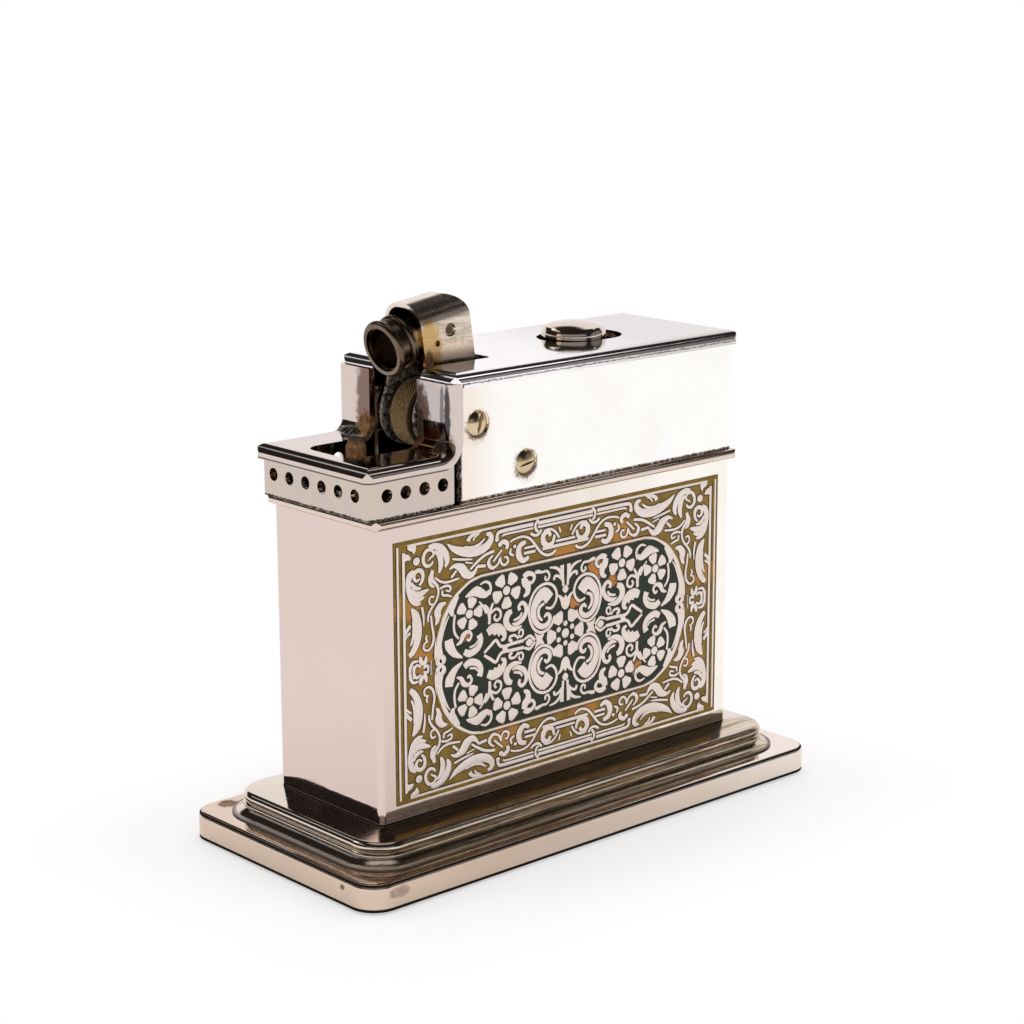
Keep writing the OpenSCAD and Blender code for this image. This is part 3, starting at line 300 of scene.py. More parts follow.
BROWN = (0.085, 0.042, 0.018)
ORANGE = (0.36, 0.15, 0.035)
# near-black: soot, and painted shade and painted dark reflection where a call says so
SOOT_AND_SHADE = (0.010, 0.008, 0.006)
SPECK = (0.22, 0.14, 0.08)
EMBER = (0.42, 0.15, 0.03)
YELLOWED = (0.72, 0.58, 0.42)


def draw_streaks(bench, places, grain_scale, depth, dark, light):
    """mask and colour of tarnish in drawn-out runs, between a start and an end along each axis given"""
    where = 1.0
    for axis, start, end in places:
        where = bench.times(where, bench.ramp(bench.axes()[axis], start * MM, end * MM))
    run = bench.ramp(bench.grain(0.9, 5, 0.7, grain_scale), 0.38, 0.60, 0.25, 1.0)
    tarnish = bench.mix(bench.ramp(bench.grain(0.5, 3, 0.7, grain_scale), 0.38, 0.62), dark, light)
    return bench.times(where, run, depth), tarnish


def rub_in_dirt_and_shade(bench, spots, lines, creases):
    """mask and colour of each ragged spot, uneven line and sharp crease: dirt, and the painted shade and dark
    reflections that the calls name
    """
    dirt_and_shade = []
    if spots or lines:
        ragged = bench.fray(0.9, 6, 1.5)
        broken = bench.ramp(bench.grain(0.5, 3, 0.6), 0.34, 0.56, 0.85, 1.0)
        dapple = bench.ramp(bench.grain(0.7, 4, 0.7), 0.36, 0.64)
        wobble = bench.fray(0.6, 5, 0.6 * MM)
        wavy = bench.ramp(bench.grain(0.7, 4, 0.7), 0.34, 0.54, 0.55, 1.0)
    for centre, radii, depth, mark_colour in spots:
        mask = bench.times(bench.spot(centre, radii, ragged), broken, depth)
        dirt_and_shade.append((mask, bench.mix(dapple, [c * 0.5 for c in mark_colour], [c * 1.5 for c in mark_colour])))
    for axis, middle, half, soft, depth, mark_colour in lines:
        dirt_and_shade.append((bench.times(bench.band(axis, middle, half, soft, wobble), wavy, depth), mark_colour))
    for axis, middle, half, soft, depth, mark_colour in creases:
        dirt_and_shade.append((bench.times(bench.band(axis, middle, half, soft), depth), mark_colour))
    return dirt_and_shade


def plated(name, tone, warm, warm_share, polish, spots=(), lines=(), pits=0.0, brush=(1, 1, 1), haze=0.0,
           fade=None, streaks=None, tints=(), creases=(), worn_core=None, metal=1.0):
    """nickel or silver plate: clouded colour, hairline scratches, and grime and painted shade at listed
    places

    A tint or spot has its centre, radii, depth and colour. A line or crease has its axis, its place on
    it, half width, softness, depth and colour. A fade has its axis, start, end and the tone beyond.
    Tints, fades and streaks only colour the metal; the tints and fades that a call names are painted
    reflections. Spots, lines and creases are matt marks on it: dirt, and the painted shade and dark
    reflections that the calls name.
    """
    material, bench, shader = new_finish(name)
    cloud = bench.grain(9.0, 4, 0.6)
    fine = bench.grain(0.9, 5, 0.65)
    hairs = bench.grain(1.6, 3, 0.7, brush, 0.4)
    colour = tone
    if fade:
        axis, start, end, tone_there = fade
        colour = bench.mix(bench.ramp(bench.axes()[axis], start * MM, end * MM), tone, tone_there)
    colour = bench.mix(bench.ramp(cloud, 0.42, 0.70, 0.0, warm_share), colour, warm)
    speck = bench.ramp(fine, 0.66, 0.76)
    colour = bench.mix(bench.times(speck, 0.25 + pits * 0.4), colour, SPECK)
    rough = bench.ramp(cloud, 0.3, 0.8, polish, polish + 0.07)
    rough = bench.sum("ADD", rough, bench.ramp(hairs, 0.55, 0.8, 0.0, 0.08 + haze))
    if streaks:
        mask, tarnish = draw_streaks(bench, *streaks)
        colour = bench.mix(mask, colour, tarnish)
        rough = bench.sum("ADD", rough, bench.times(mask, 0.14))
    if tints:
        loose = bench.fray(1.6, 5, 1.1)
    for centre, radii, depth, mark_colour in tints:
        colour = bench.mix(bench.times(bench.spot(centre, radii, loose), depth), colour, mark_colour)
    if worn_core:
        side, low, high = worn_core
        arm = bench.vector("SUBTRACT", bench.here(), (AXLE_X * MM, 0, AXLE_Z * MM))
        reach = bench.length(bench.vector("MULTIPLY", arm, (1, 0, 1)))
        colour = bench.mix(bench.ramp(reach, low * MM, high * MM), side, colour)
    # all the matt marks together: dirt, and painted shade and dark reflections
    stain_and_shade = None
    for mask, mark_colour in rub_in_dirt_and_shade(bench, spots, lines, creases):
        colour = bench.mix(mask, colour, mark_colour)
        stain_and_shade = mask if stain_and_shade is None else bench.most(stain_and_shade, mask)
    height = bench.sum("MULTIPLY_ADD", hairs, 0.05, bench.grain(6.0, 2, 0.4))
    height = bench.sum("MULTIPLY_ADD", speck, pits * -0.28, height)
    if stain_and_shade is None:
        shader.inputs["Metallic"].default_value = metal
    else:
        clean = bench.sum("SUBTRACT", 1.0, stain_and_shade)
        rough = bench.sum("ADD", rough, bench.times(stain_and_shade, 0.42))
        height = bench.sum("MULTIPLY_ADD", bench.times(stain_and_shade, fine), 0.2, height)
        bench.feed(shader.inputs["Metallic"], clean)
        bench.feed(shader.inputs["Specular IOR Level"], bench.times(clean, 0.3))
    bench.feed(shader.inputs["Base Color"], colour)
    bench.feed(shader.inputs["Roughness"], rough)
    dent(bench, shader, height, 0.035)
    return material


def make_plates():
    """plated and bare metals by name"""
    made = {}
    made["housing"] = plated(
        "housing_plate", (0.91, 0.80, 0.72), (0.93, 0.87, 0.80), 0.3, 0.03,
        fade=(0, -20.5, -11, (0.99, 0.975, 0.955)),
        spots=[((-16.8, -11.7, 63.0), (2.1, 1, 2.2), 0.8, (0.12, 0.075, 0.04)),
               ((-7.7, -11.7, 56.2), (2.1, 1, 2.15), 0.85, (0.11, 0.07, 0.04))],
        tints=[((-17.0, -11.7, 62.6), (2.7, 1, 2.7), 0.4, (0.80, 0.66, 0.50)),
               ((-7.8, -11.7, 56.0), (2.6, 1, 2.6), 0.4, (0.80, 0.66, 0.50))],
        # the black line at x -20 is painted shade in the gap between the cover's skirt and the wall
        lines=[(2, 52.42, 0.24, 0.12, 1.0, (0.10, 0.055, 0.025)), (0, -20.0, 0.3, 0.2, 1.0, SOOT_AND_SHADE)],
        brush=(0.15, 1, 2.5))
    made["top"] = plated(
        "top_plate_silver", (0.95, 0.92, 0.935), (0.80, 0.74, 0.70), 0.15, 0.045,
        fade=(0, -6, 24, (0.66, 0.62, 0.62)),
        spots=[((-9.1, 0, 70.9), (0.7, 3.4, 0.6), 0.8, BROWN),
               ((19.5, 2.6, 70.9), (0.9, 2.4, 0.6), 0.8, BROWN)],
        lines=[(2, 69.35, 0.1, 0.1, 0.9, BROWN)], brush=(0.2, 2.5, 1))
    made["cover"] = plated(
        "cover_silver", (0.67, 0.565, 0.53), YELLOWED, 0.3, 0.05,
        tints=[((-22.6, 5.8, 65.4), (1.8, 2.6, 6.6), 0.92, (0.19, 0.115, 0.09)),
               ((-22.6, -8.0, 64.6), (1.6, 4.6, 6.5), 0.6, (0.46, 0.41, 0.41)),
               ((-22.6, -5.4, 64.0), (1.6, 2.7, 6.0), 0.96, (0.07, 0.042, 0.03)),
               ((-22.6, -8.8, 60.6), (1.6, 4.6, 2.6), 0.95, (0.20, 0.09, 0.03)),
               # the lavender and near-black bands down the near cheek's rolled edge are painted reflections
               ((-22.6, -10.7, 64.8), (0.7, 0.5, 5.2), 0.85, (0.17, 0.15, 0.17)),
               ((-22.3, -11.7, 64.6), (0.6, 0.5, 6.0), 0.95, (0.06, 0.05, 0.05))],
        spots=[((-22.6, 5.9, 61.2), (1.5, 2.5, 2.1), 0.95, (0.20, 0.10, 0.035)),
               ((-23.0, 8.8, 60.0), (1.4, 2.4, 0.7), 1.0, SOOT_AND_SHADE),
               ((-22.5, -5.4, 62.5), (1.3, 1.3, 4.2), 0.98, (0.045, 0.026, 0.017)),
               ((-22.5, -10.6, 60.3), (1.4, 1.3, 1.3), 0.95, SOOT_AND_SHADE),
               ((-28.1, 2.2, 59.7), (1.2, 2.0, 0.7), 0.9, BROWN)],
        creases=[(2, 57.8, 0.1, 0.08, 0.9, SOOT_AND_SHADE)], pits=0.4)
    made["guard"] = plated(
        "guard_silver", (0.60, 0.51, 0.46), YELLOWED, 0.3, 0.06, lines=[(2, 52.42, 0.16, 0.1, 1.0, SOOT_AND_SHADE)],
        # the brown crease just under the deck's lip is a painted shadow of the lip
        creases=[(2, 58.38, 0.07, 0.06, 0.8, BROWN)], pits=0.35)
    # the tank's fade to a whiter tone towards +X is a painted reflection of bright light at the right end;
    # the brown-gold tint along the foot of the near side is a painted reflection of the moulding's ledge
    made["tank"] = plated(
        "tank_silver", (0.735, 0.60, 0.55), YELLOWED, 0.15, 0.04, fade=(0, -33, 33, (0.985, 0.94, 0.88)),
        tints=[((16, -11.75, 8.9), (42, 1, 1.5), 0.75, (0.44, 0.31, 0.17))],
        creases=[(2, 8.26, 0.12, 0.06, 1.0, SOOT_AND_SHADE)], brush=(1, 0.3, 2.4))
    made["rim"] = plated(
        # the black crease along the rim's lower edge is a painted shadow under its bead
        "rim_silver", (0.74, 0.60, 0.53), YELLOWED, 0.3, 0.05, creases=[(2, 50.85, 0.1, 0.06, 1.0, SOOT_AND_SHADE)],
        pits=0.3, brush=(0.2, 1, 1))
    made["moulding"] = plated(
        "moulding_silver", (0.76, 0.66, 0.58), YELLOWED, 0.35, 0.06,
        spots=[((-38.9, 17.6, 6.0), (1.2, 2.0, 1.4), 0.9, BROWN),
               ((36.4, -18.8, 6.4), (2.2, 1.4, 1.2), 0.85, BROWN)],
        creases=[(2, 4.5, 0.14, 0.1, 0.9, SOOT_AND_SHADE)],
        streaks=(((1, -10.5, -12.5), (0, -42, -33)), (0.05, 1, 1), 0.85,
                 (0.15, 0.10, 0.055), (0.66, 0.50, 0.30)))
    made["plinth"] = plated(
        "plinth_silver", (0.72, 0.565, 0.46), YELLOWED, 0.25, 0.07, fade=(0, -30, 40, (0.86, 0.76, 0.69)),
        spots=[((-39.9, -21.5, 2.8), (1.9, 0.9, 0.8), 0.6, (0.19, 0.13, 0.09)),
               ((-45, -15.3, 3.0), (0.5, 0.5, 0.4), 0.9, BROWN),
               ((-39.6, 18.9, 4.4), (1.6, 1.4, 0.7), 0.9, (0.24, 0.12, 0.05))],
        # the black creases at z 0.5 and 4.13 are painted dark reflections on the plinth's rounded bottom and
        # top edges
        creases=[(2, 0.5, 0.34, 0.08, 1.0, SOOT_AND_SHADE), (2, 4.13, 0.15, 0.04, 1.0, SOOT_AND_SHADE)], pits=0.6)
    made["hood"] = plated(
        "hood_silver", (0.84, 0.73, 0.66), (0.66, 0.47, 0.27), 0.4, 0.17,
        tints=[((-18.8, -4.0, 73.0), (2.3, 1.2, 4.2), 0.9, (0.60, 0.38, 0.14)),
               ((-19.8, -4.0, 69.6), (2.6, 1.2, 3.0), 0.95, ORANGE),
               ((-13.6, -4.0, 72.4), (3.2, 1.2, 1.3), 0.8, (0.92, 0.72, 0.56)),
               ((-15.0, -4.0, 70.4), (3.4, 1.2, 0.9), 0.7, (0.70, 0.42, 0.14))],
        spots=[((-18.9, -4.1, 71.2), (0.7, 1, 1.9), 0.95, (0.09, 0.05, 0.03)),
               ((AXLE_X, 0, AXLE_Z), (6.6, 9, 6.4), 1.0, (0.014, 0.008, 0.005))],
        pits=0.6, brush=(2.5, 1, 0.2), haze=0.08,
        streaks=(((1, -3.0, -3.9),), (0.12, 1, 1), 0.6, (0.20, 0.16, 0.11), (0.74, 0.55, 0.34)))
    made["screws"] = plated("screw_nickel", (0.70, 0.55, 0.36), (0.46, 0.30, 0.13), 0.7, 0.2, pits=0.5)
    made["button"] = plated("button_silver", (0.74, 0.63, 0.54), (0.64, 0.46, 0.24), 0.5, 0.07, pits=0.3)
    made["brass"] = plated("old_brass", (0.62, 0.43, 0.17), (0.36, 0.21, 0.07), 0.8, 0.24, pits=0.8)
    made["bronze"] = plated(
        "dark_bronze", (0.23, 0.17, 0.125), (0.13, 0.085, 0.05), 0.9, 0.22,
        spots=[((-20.6, -3.0, 74.6), (1.1, 1.4, 1.5), 0.8, (0.55, 0.33, 0.10))], pits=0.9)
    # the pins are near-black as painted shade of the holes in the hood that they sit in
    made["pins"] = plated("pins_painted_shade", (0.085, 0.06, 0.04), (0.30, 0.17, 0.06), 0.5, 0.3, pits=1.0)
    made["steel"] = plated("spring_steel", (0.50, 0.48, 0.46), (0.36, 0.27, 0.18), 0.6, 0.2, pits=0.5)
    made["cutter"] = plated(
        "browned_cutter", (0.50, 0.34, 0.17), (0.26, 0.16, 0.07), 0.8, 0.45,
        pits=1.0, worn_core=((0.11, 0.065, 0.03), 4.74, 4.98), metal=0.35,
        streaks=(((2, 40, 45),), (1, 1, 1), 0.75, (0.15, 0.075, 0.03), (0.62, 0.42, 0.21)))
    made["ratchet"] = plated("sooty_ratchet", (0.12, 0.09, 0.065), (0.07, 0.045, 0.03), 0.8, 0.35, pits=1.0)
    made["ornament"] = plated(
        "ornament_silver", (0.80, 0.70, 0.645), (0.74, 0.62, 0.52), 0.3, 0.24, pits=0.35)
    made["flint"] = plated("flint_alloy", (0.30, 0.29, 0.28), (0.18, 0.16, 0.15), 0.8, 0.42, pits=1.0)
    return made


def enamel(name, cloud_grain, cloud_edges, tones, wear, wear_grain, mark_colour, dye_depth, gloss, shine):
    """hard enamel in two clouded tones, worn thin in patches"""
    material, bench, shader = new_finish(name)
    cloud = bench.grain(*cloud_grain)
    colour = bench.mix(bench.ramp(cloud, *cloud_edges), *tones)
    ragged = bench.fray(*wear_grain)
    for u, v, along, up in wear:
        patch = bench.spot((u, 0, PANEL_MID_Z + v), (along, 30, up), ragged)
        colour = bench.mix(bench.times(patch, dye_depth), colour, mark_colour)
    bench.feed(shader.inputs["Base Color"], colour)
    bench.feed(shader.inputs["Roughness"], bench.ramp(cloud, 0.3, 0.8, *gloss))
    shader.inputs["Specular IOR Level"].default_value = shine
    dent(bench, shader, cloud, 0.03)
    return material


def olive_enamel():
    worn = ((-30, 9.5), (-27.5, 2), (0, 12.5), (4, -12.7), (27, -9), (12, 13), (-12, -12.8), (29.5, 4))
    return enamel(
        "olive_enamel", (2.4, 5, 0.65), (0.35, 0.7), ((0.160, 0.092, 0.009), (0.255, 0.150, 0.020)),
        [(u, v, 2.8, 2.1) for u, v in worn], (2.0, 5, 2.2), (0.46, 0.19, 0.03), 0.75, (0.28, 0.5), 0.25)


def dark_green_enamel():
    chips = ((6.2, 8.6, 1.8), (1.8, 4.2, 1.2), (9.5, 6.2, 1.1), (15.0, -8.5, 1.2), (-19, 3.4, 0.8))
    return enamel(
        "dark_green_enamel", (3.2, 5, 0.6), (0.4, 0.66), ((0.018, 0.020, 0.011), (0.009, 0.024, 0.014)),
        [(u, v, r, r) for u, v, r in chips], (1.2, 5, 2.4), (0.50, 0.20, 0.04), 0.85, (0.22, 0.42), 0.22)


def burnt_outline():
    """dark line that the firing left round each raised form"""
    material, bench, shader = new_finish("burnt_outline")
    cloud = bench.grain(1.2, 4, 0.6)
    bench.feed(shader.inputs["Base Color"], bench.mix(cloud, (0.022, 0.012, 0.005), (0.050, 0.027, 0.011)))
    bench.feed(shader.inputs["Roughness"], bench.ramp(cloud, 0.3, 0.7, 0.35, 0.6))
    shader.inputs["Specular IOR Level"].default_value = 0.2
    dent(bench, shader, cloud, 0.02)
    return material


def woven(name, light, dark, size, sheen=0.2, burnt=None):
    """cotton, felt or leather: two tones, matt, with a fibrous bump, and charred between two heights"""
    material, bench, shader = new_finish(name)
    fibre = bench.grain(size, 6, 0.75, twist=1.5)
    cloud = bench.grain(size * 8, 3)
    colour = bench.mix(bench.ramp(fibre, 0.35, 0.65), dark, light)
    if burnt:
        ember = bench.ramp(bench.grain(0.8, 4, 0.7), 0.52, 0.62)
        colour = bench.mix(ember, colour, EMBER)
        charred = bench.ramp(bench.axes()[2], burnt[0] * MM, burnt[1] * MM, 0.0, 0.8)
        colour = bench.mix(charred, colour, SOOT_AND_SHADE)
    colour = bench.mix(bench.ramp(cloud, 0.5, 0.8, 0.0, 0.4), colour, dark)
    bench.feed(shader.inputs["Base Color"], colour)
    bench.feed(shader.inputs["Roughness"], bench.ramp(fibre, 0.2, 0.8, 0.8, 0.96))
    dent(bench, shader, fibre, size * 0.3)
    shader.inputs["Sheen Weight"].default_value = sheen
    return material


def make_finishes():
    """every finish of the lighter by name"""
    made = make_plates()
    made["olive"] = olive_enamel()
    made["dark_green"] = dark_green_enamel()
    made["outline"] = burnt_outline()
    made["cotton"] = woven("wick_cotton", (0.30, 0.15, 0.06), (0.07, 0.03, 0.014), 0.35, 0.03, (60.2, 61.3))
    made["wadding"] = woven("wadding_cotton", (0.80, 0.77, 0.70), (0.62, 0.56, 0.45), 1.2)
    made["felt"] = woven("foot_felt", (0.045, 0.042, 0.040), (0.015, 0.014, 0.014), 0.5)
    made["seal"] = woven("seal_leather", (0.16, 0.095, 0.055), (0.05, 0.03, 0.02), 0.5)
    return made


# soft and wound pieces

def pick(name, finish, body, stands_for=None):
    """gives the active mesh its name, finish and body, with its place kept in the mesh"""
    piece = bpy.context.object
    bpy.ops.object.transform_apply(location=True, rotation=True, scale=True)
    piece.name = name
    piece.data.name = name
    piece.data.materials.clear()
    piece.data.materials.append(finish)
    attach(piece, body)
    if stands_for:
        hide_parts(stands_for)
    return piece


def take_up(piece):
    """links a new object and leaves it alone selected"""
    bpy.ops.object.select_all(action="DESELECT")
    bpy.context.scene.collection.objects.link(piece)
    bpy.context.view_layer.objects.active = piece
    piece.select_set(True)


def face_outwards(merged=False):
    """turns the active mesh's faces outwards, after its doubled points are merged where asked"""
    bpy.ops.object.mode_set(mode="EDIT")
    bpy.ops.mesh.select_all(action="SELECT")
    if merged:
        bpy.ops.mesh.remove_doubles(threshold=MERGE_REACH)
    bpy.ops.mesh.normals_make_consistent(inside=False)
    bpy.ops.object.mode_set(mode="OBJECT")


def smooth_below(degrees):
    bpy.ops.object.shade_smooth_by_angle(angle=math.radians(degrees))


def wind_wire(name, points_mm, radius_mm, finish, node):
    """round wire along a path, its ends capped, in the place of a spring of the housing"""
    curve = bpy.data.curves.new(name, "CURVE")
    curve.dimensions = "3D"
    curve.bevel_depth = radius_mm * MM
    curve.bevel_resolution = 3
    curve.use_fill_caps = True
    curve.resolution_u = 1
    line = curve.splines.new("POLY")
    line.points.add(len(points_mm) - 1)
    for spot, place in zip(line.points, points_mm):
        spot.co = (*(Vector(place) * MM), 1)
    take_up(bpy.data.objects.new(name, curve))
    bpy.ops.object.convert(target="MESH")
    face_outwards(merged=True)
    smooth_below(50)
    return pick(name, finish, "housing", node)


def coil(radius, pitch, turns, steps=24):
    """points of a helix that rises from the origin"""
    path = []
    for i in range(int(turns * steps) + 1):
        turn = 2 * math.pi * i / steps
        path.append((radius * math.cos(turn), radius * math.sin(turn), pitch * i / steps))
    return path


def wind_flint_spring(finish):
    low, high = mm_box("flint_spring")
    wire, turns = 0.17, 22
    helix = coil(1.0, (high.z - low.z - 2 * wire) / turns, turns)
    path = [(x + AXLE_X, y, z + low.z + wire) for x, y, z in helix]
    wind_wire("flint_spring_coil", path, wire, finish, "flint_spring")


def wind_button_spring(finish):
    """spring that lies along the lighter and shortens as the button slides"""
    low, high = mm_box("button_spring")
    wire, turns = 0.2, 8
    mid_z = (low.z + high.z) / 2
    helix = coil(1.1, (high.x - low.x - 2 * wire) / turns, turns)
    path = [(low.x + wire + z, y, mid_z - x) for x, y, z in helix]
    spring = wind_wire("button_spring_coil", path, wire, finish, "button_spring")
    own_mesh(spring)


def wind_arm_spring(finish):
    """two and a half turns round the axle, with a straight leg at each end"""
    wire, side, radius, pitch = 0.25, 4.4, 2.6, 0.96
    path = [(-5, side, -radius), (-2.5, side, -radius)]
    for degrees in range(0, 901, 9):
        turn = math.radians(degrees)
        path.append((radius * math.sin(turn), side + pitch * degrees / 360, -radius * math.cos(turn)))
    path += [(2.5, side + 2.5 * pitch, radius), (6, side + 2.5 * pitch, radius)]
    path = [(x + AXLE_X, y, z + AXLE_Z) for x, y, z in path]
    wind_wire("arm_spring_coil", path, wire, finish, "arm_spring")


def copy_node(node):
    """own copy of a node's mesh, merged by distance, as the active object"""
    twin = bpy.data.objects.new(node + "_copy", nodes[node].data.copy())
    take_up(twin)
    bpy.ops.object.mode_set(mode="EDIT")
    bpy.ops.mesh.select_all(action="SELECT")
    bpy.ops.mesh.remove_doubles(threshold=MERGE_REACH)
    bpy.ops.mesh.customdata_custom_splitnormals_clear()
    bpy.ops.object.mode_set(mode="OBJECT")
    return twin


def ruffle(piece, lump_mm, height_mm, hold=None):
    """pushes each point in or out along its normal by smooth noise, except where hold says no"""
    normals = [spot.normal.copy() for spot in piece.data.vertices]
    for spot, normal in zip(piece.data.vertices, normals):
        if hold and hold(spot.co / MM):
            continue
        push = noise.noise(spot.co / (lump_mm * MM))
        spot.co += normal * (push - RUFFLE_SINK) * height_mm * MM


def make_fluffy(node, cell_mm, lump_mm, height_mm, hold=None):
    """own copy of a soft node, remeshed into small cells and ruffled"""
    piece = copy_node(node)
    bpy.ops.object.modifier_add(type="REMESH")
    remesh = piece.modifiers[-1]
    remesh.mode = "VOXEL"
    remesh.voxel_size = cell_mm * MM
    bpy.ops.object.modifier_apply(modifier=remesh.name)
    ruffle(piece, lump_mm, height_mm, hold)
    bpy.ops.object.shade_smooth()


def cut_felt(finish):
    """felt under the foot, flat where it stands"""
    make_fluffy("base_felt", 0.45, 0.9, 0.05, lambda place: place.z < FELT_SOLE)
    pick("felt_pad", finish, "housing", "base_felt")


def pack_wadding(finish):
    make_fluffy("wadding", 1.0, 4.0, 0.5)
    pick("cotton_wadding", finish, "housing", "wadding")


def cut_barrel_pad(finish):
    make_fluffy("barrel_pad", 0.1, 0.7, 0.05)
    pick("leather_cup_pad", finish, "arm", "barrel_pad")


def turn_filler_washer(finish):
    """leather ring with crowned faces under the filler screw"""
    outer, inner, crown, slack = 3.55, 2.65, 0.06, 0.12
    low, high = mm_box("filler_washer")
    bpy.ops.object.select_all(action="DESELECT")
    bpy.ops.mesh.primitive_cylinder_add(
        vertices=64, radius=outer * MM, depth=(high.z - low.z - slack) * MM, end_fill_type="NGON",
        location=(FILLER_X * MM, 0, (low.z + high.z) / 2 * MM))
    ring = bpy.context.object
    bpy.ops.object.mode_set(mode="EDIT")
    bpy.ops.mesh.select_mode(type="FACE")
    bpy.ops.mesh.select_all(action="DESELECT")
    bpy.ops.object.mode_set(mode="OBJECT")
    for face in ring.data.polygons:
        face.select = abs(face.normal.z) > 0.9
    bpy.ops.object.mode_set(mode="EDIT")
    for share, rise in ((0.35, crown), (0.3, 0), (0.35, -crown)):
        bpy.ops.mesh.inset(thickness=(outer - inner) * share * MM, depth=rise * MM)
    bpy.ops.mesh.bridge_edge_loops()
    face_outwards()
    smooth_below(40)
    pick("filler_washer_ring", finish, "housing", "filler_washer")


def plait_wick(finish):
    """round cotton wick with crossed strands and a frayed, burnt tip"""
    low, high = mm_box("wick")
    radius, strands, lay, tip_length = 1.44, 4, 2.6, 1.2
    rings, sides = 90, 48
    bpy.ops.object.select_all(action="DESELECT")
    bpy.ops.mesh.primitive_cylinder_add(
        vertices=sides, radius=radius * MM, depth=(high.z - low.z) * MM, end_fill_type="TRIFAN",
        location=(WICK_X * MM, 0, (low.z + high.z) / 2 * MM))
    wick = bpy.context.object
    bpy.ops.object.mode_set(mode="EDIT")
    bpy.ops.mesh.select_mode(type="EDGE")
    bpy.ops.mesh.select_all(action="DESELECT")
    bpy.ops.object.mode_set(mode="OBJECT")
    for edge in wick.data.edges:
        a, b = (wick.data.vertices[i].co for i in edge.vertices)
        edge.select = abs(a.z - b.z) > MM
    bpy.ops.object.mode_set(mode="EDIT")
    bpy.ops.mesh.subdivide(number_cuts=rings)
    bpy.ops.object.mode_set(mode="OBJECT")
    bpy.ops.object.transform_apply(location=True)
    for spot in wick.data.vertices:
        x, y, z = spot.co.x / MM - WICK_X, spot.co.y / MM, spot.co.z / MM
        if math.hypot(x, y) < 0.2:  # the middle of an end
            if z > high.z - 0.5:
                spot.co.z -= 0.25 * MM
            continue
        angle = math.atan2(y, x)
        left = math.sin(strands * angle + lay * z)
        right = math.sin(strands * angle - lay * z)
        swell = 0.035 * max(left, right) - 0.03
        tip = max(0.0, (z - (high.z - tip_length)) / tip_length)
        fray = noise.noise(Vector((x * 2.6, y * 2.6, z * 0.7))) * 0.5
        scale = 1 + swell - tip * 0.30 + tip * fray * 0.35
        spot.co.x = (WICK_X + x * scale) * MM
        spot.co.y = y * scale * MM
        if tip > 0.9:
            spot.co.z -= abs(fray) * 0.9 * MM
    smooth_below(60)
    pick("plaited_wick", finish, "housing", "wick")


def cut_wheel(finish):
    """spark wheel: a ring turned from its section, with crossed file teeth round its rim"""
    outer, bore, half, rows, steps = 5.0, 1.25, 1.9, 12, 132
    hub, hub_foot, well_end, flank = 2.3, 2.5, 4.0, 4.2
    chamfer, land, recess, tooth = 0.25, 0.22, 0.15, 0.26
    file_width = 2 * (half - land)
    rim = [(outer - chamfer, -half)]
    rim += [(outer, -half + land + file_width * i / rows) for i in range(rows + 1)]
    rim.append((outer - chamfer, half))
    well = half - recess
    section = [(bore, half), (bore, -half), (hub, -half), (hub_foot, -well), (well_end, -well)]
    section += [(flank, -half)] + rim + [(flank, half), (well_end, well), (hub_foot, well), (hub, half)]
    count = len(section)
    places = [(r * MM, y * MM, 0) for r, y in section]
    mesh = bpy.data.meshes.new("wheel_section")
    mesh.from_pydata(places, [(i, (i + 1) % count) for i in range(count)], [])
    wheel = bpy.data.objects.new("wheel_section", mesh)
    take_up(wheel)
    bpy.ops.object.mode_set(mode="EDIT")
    bpy.ops.mesh.select_all(action="SELECT")
    bpy.ops.mesh.spin(steps=steps, angle=2 * math.pi, center=(0, 0, 0), axis=(0, 1, 0))
    face_outwards(merged=True)
    for spot in wheel.data.vertices:
        out = math.hypot(spot.co.x, spot.co.z)
        if out < (outer - 0.05) * MM:
            continue
        turn = round(math.atan2(spot.co.z, spot.co.x) / (2 * math.pi) * steps)
        row = round((spot.co.y / MM + half - land) / file_width * rows)
        if (turn + row) % 2:
            spot.co.x *= 1 - tooth * MM / out
            spot.co.z *= 1 - tooth * MM / out
    wheel.location = (AXLE_X * MM, 0, AXLE_Z * MM)
    pick("crossed_file_wheel", finish, "wheel", "flint_wheel")


# ornament of the enamel panels
# One quarter of the ornament, mirrored twice. Each stroke has its width, or its widths from start
# to end, then a bar and the points it passes, u outwards and v upwards from the panel's middle.
# A dot has its middle and radius, and a blob has its outline. All in millimetres.

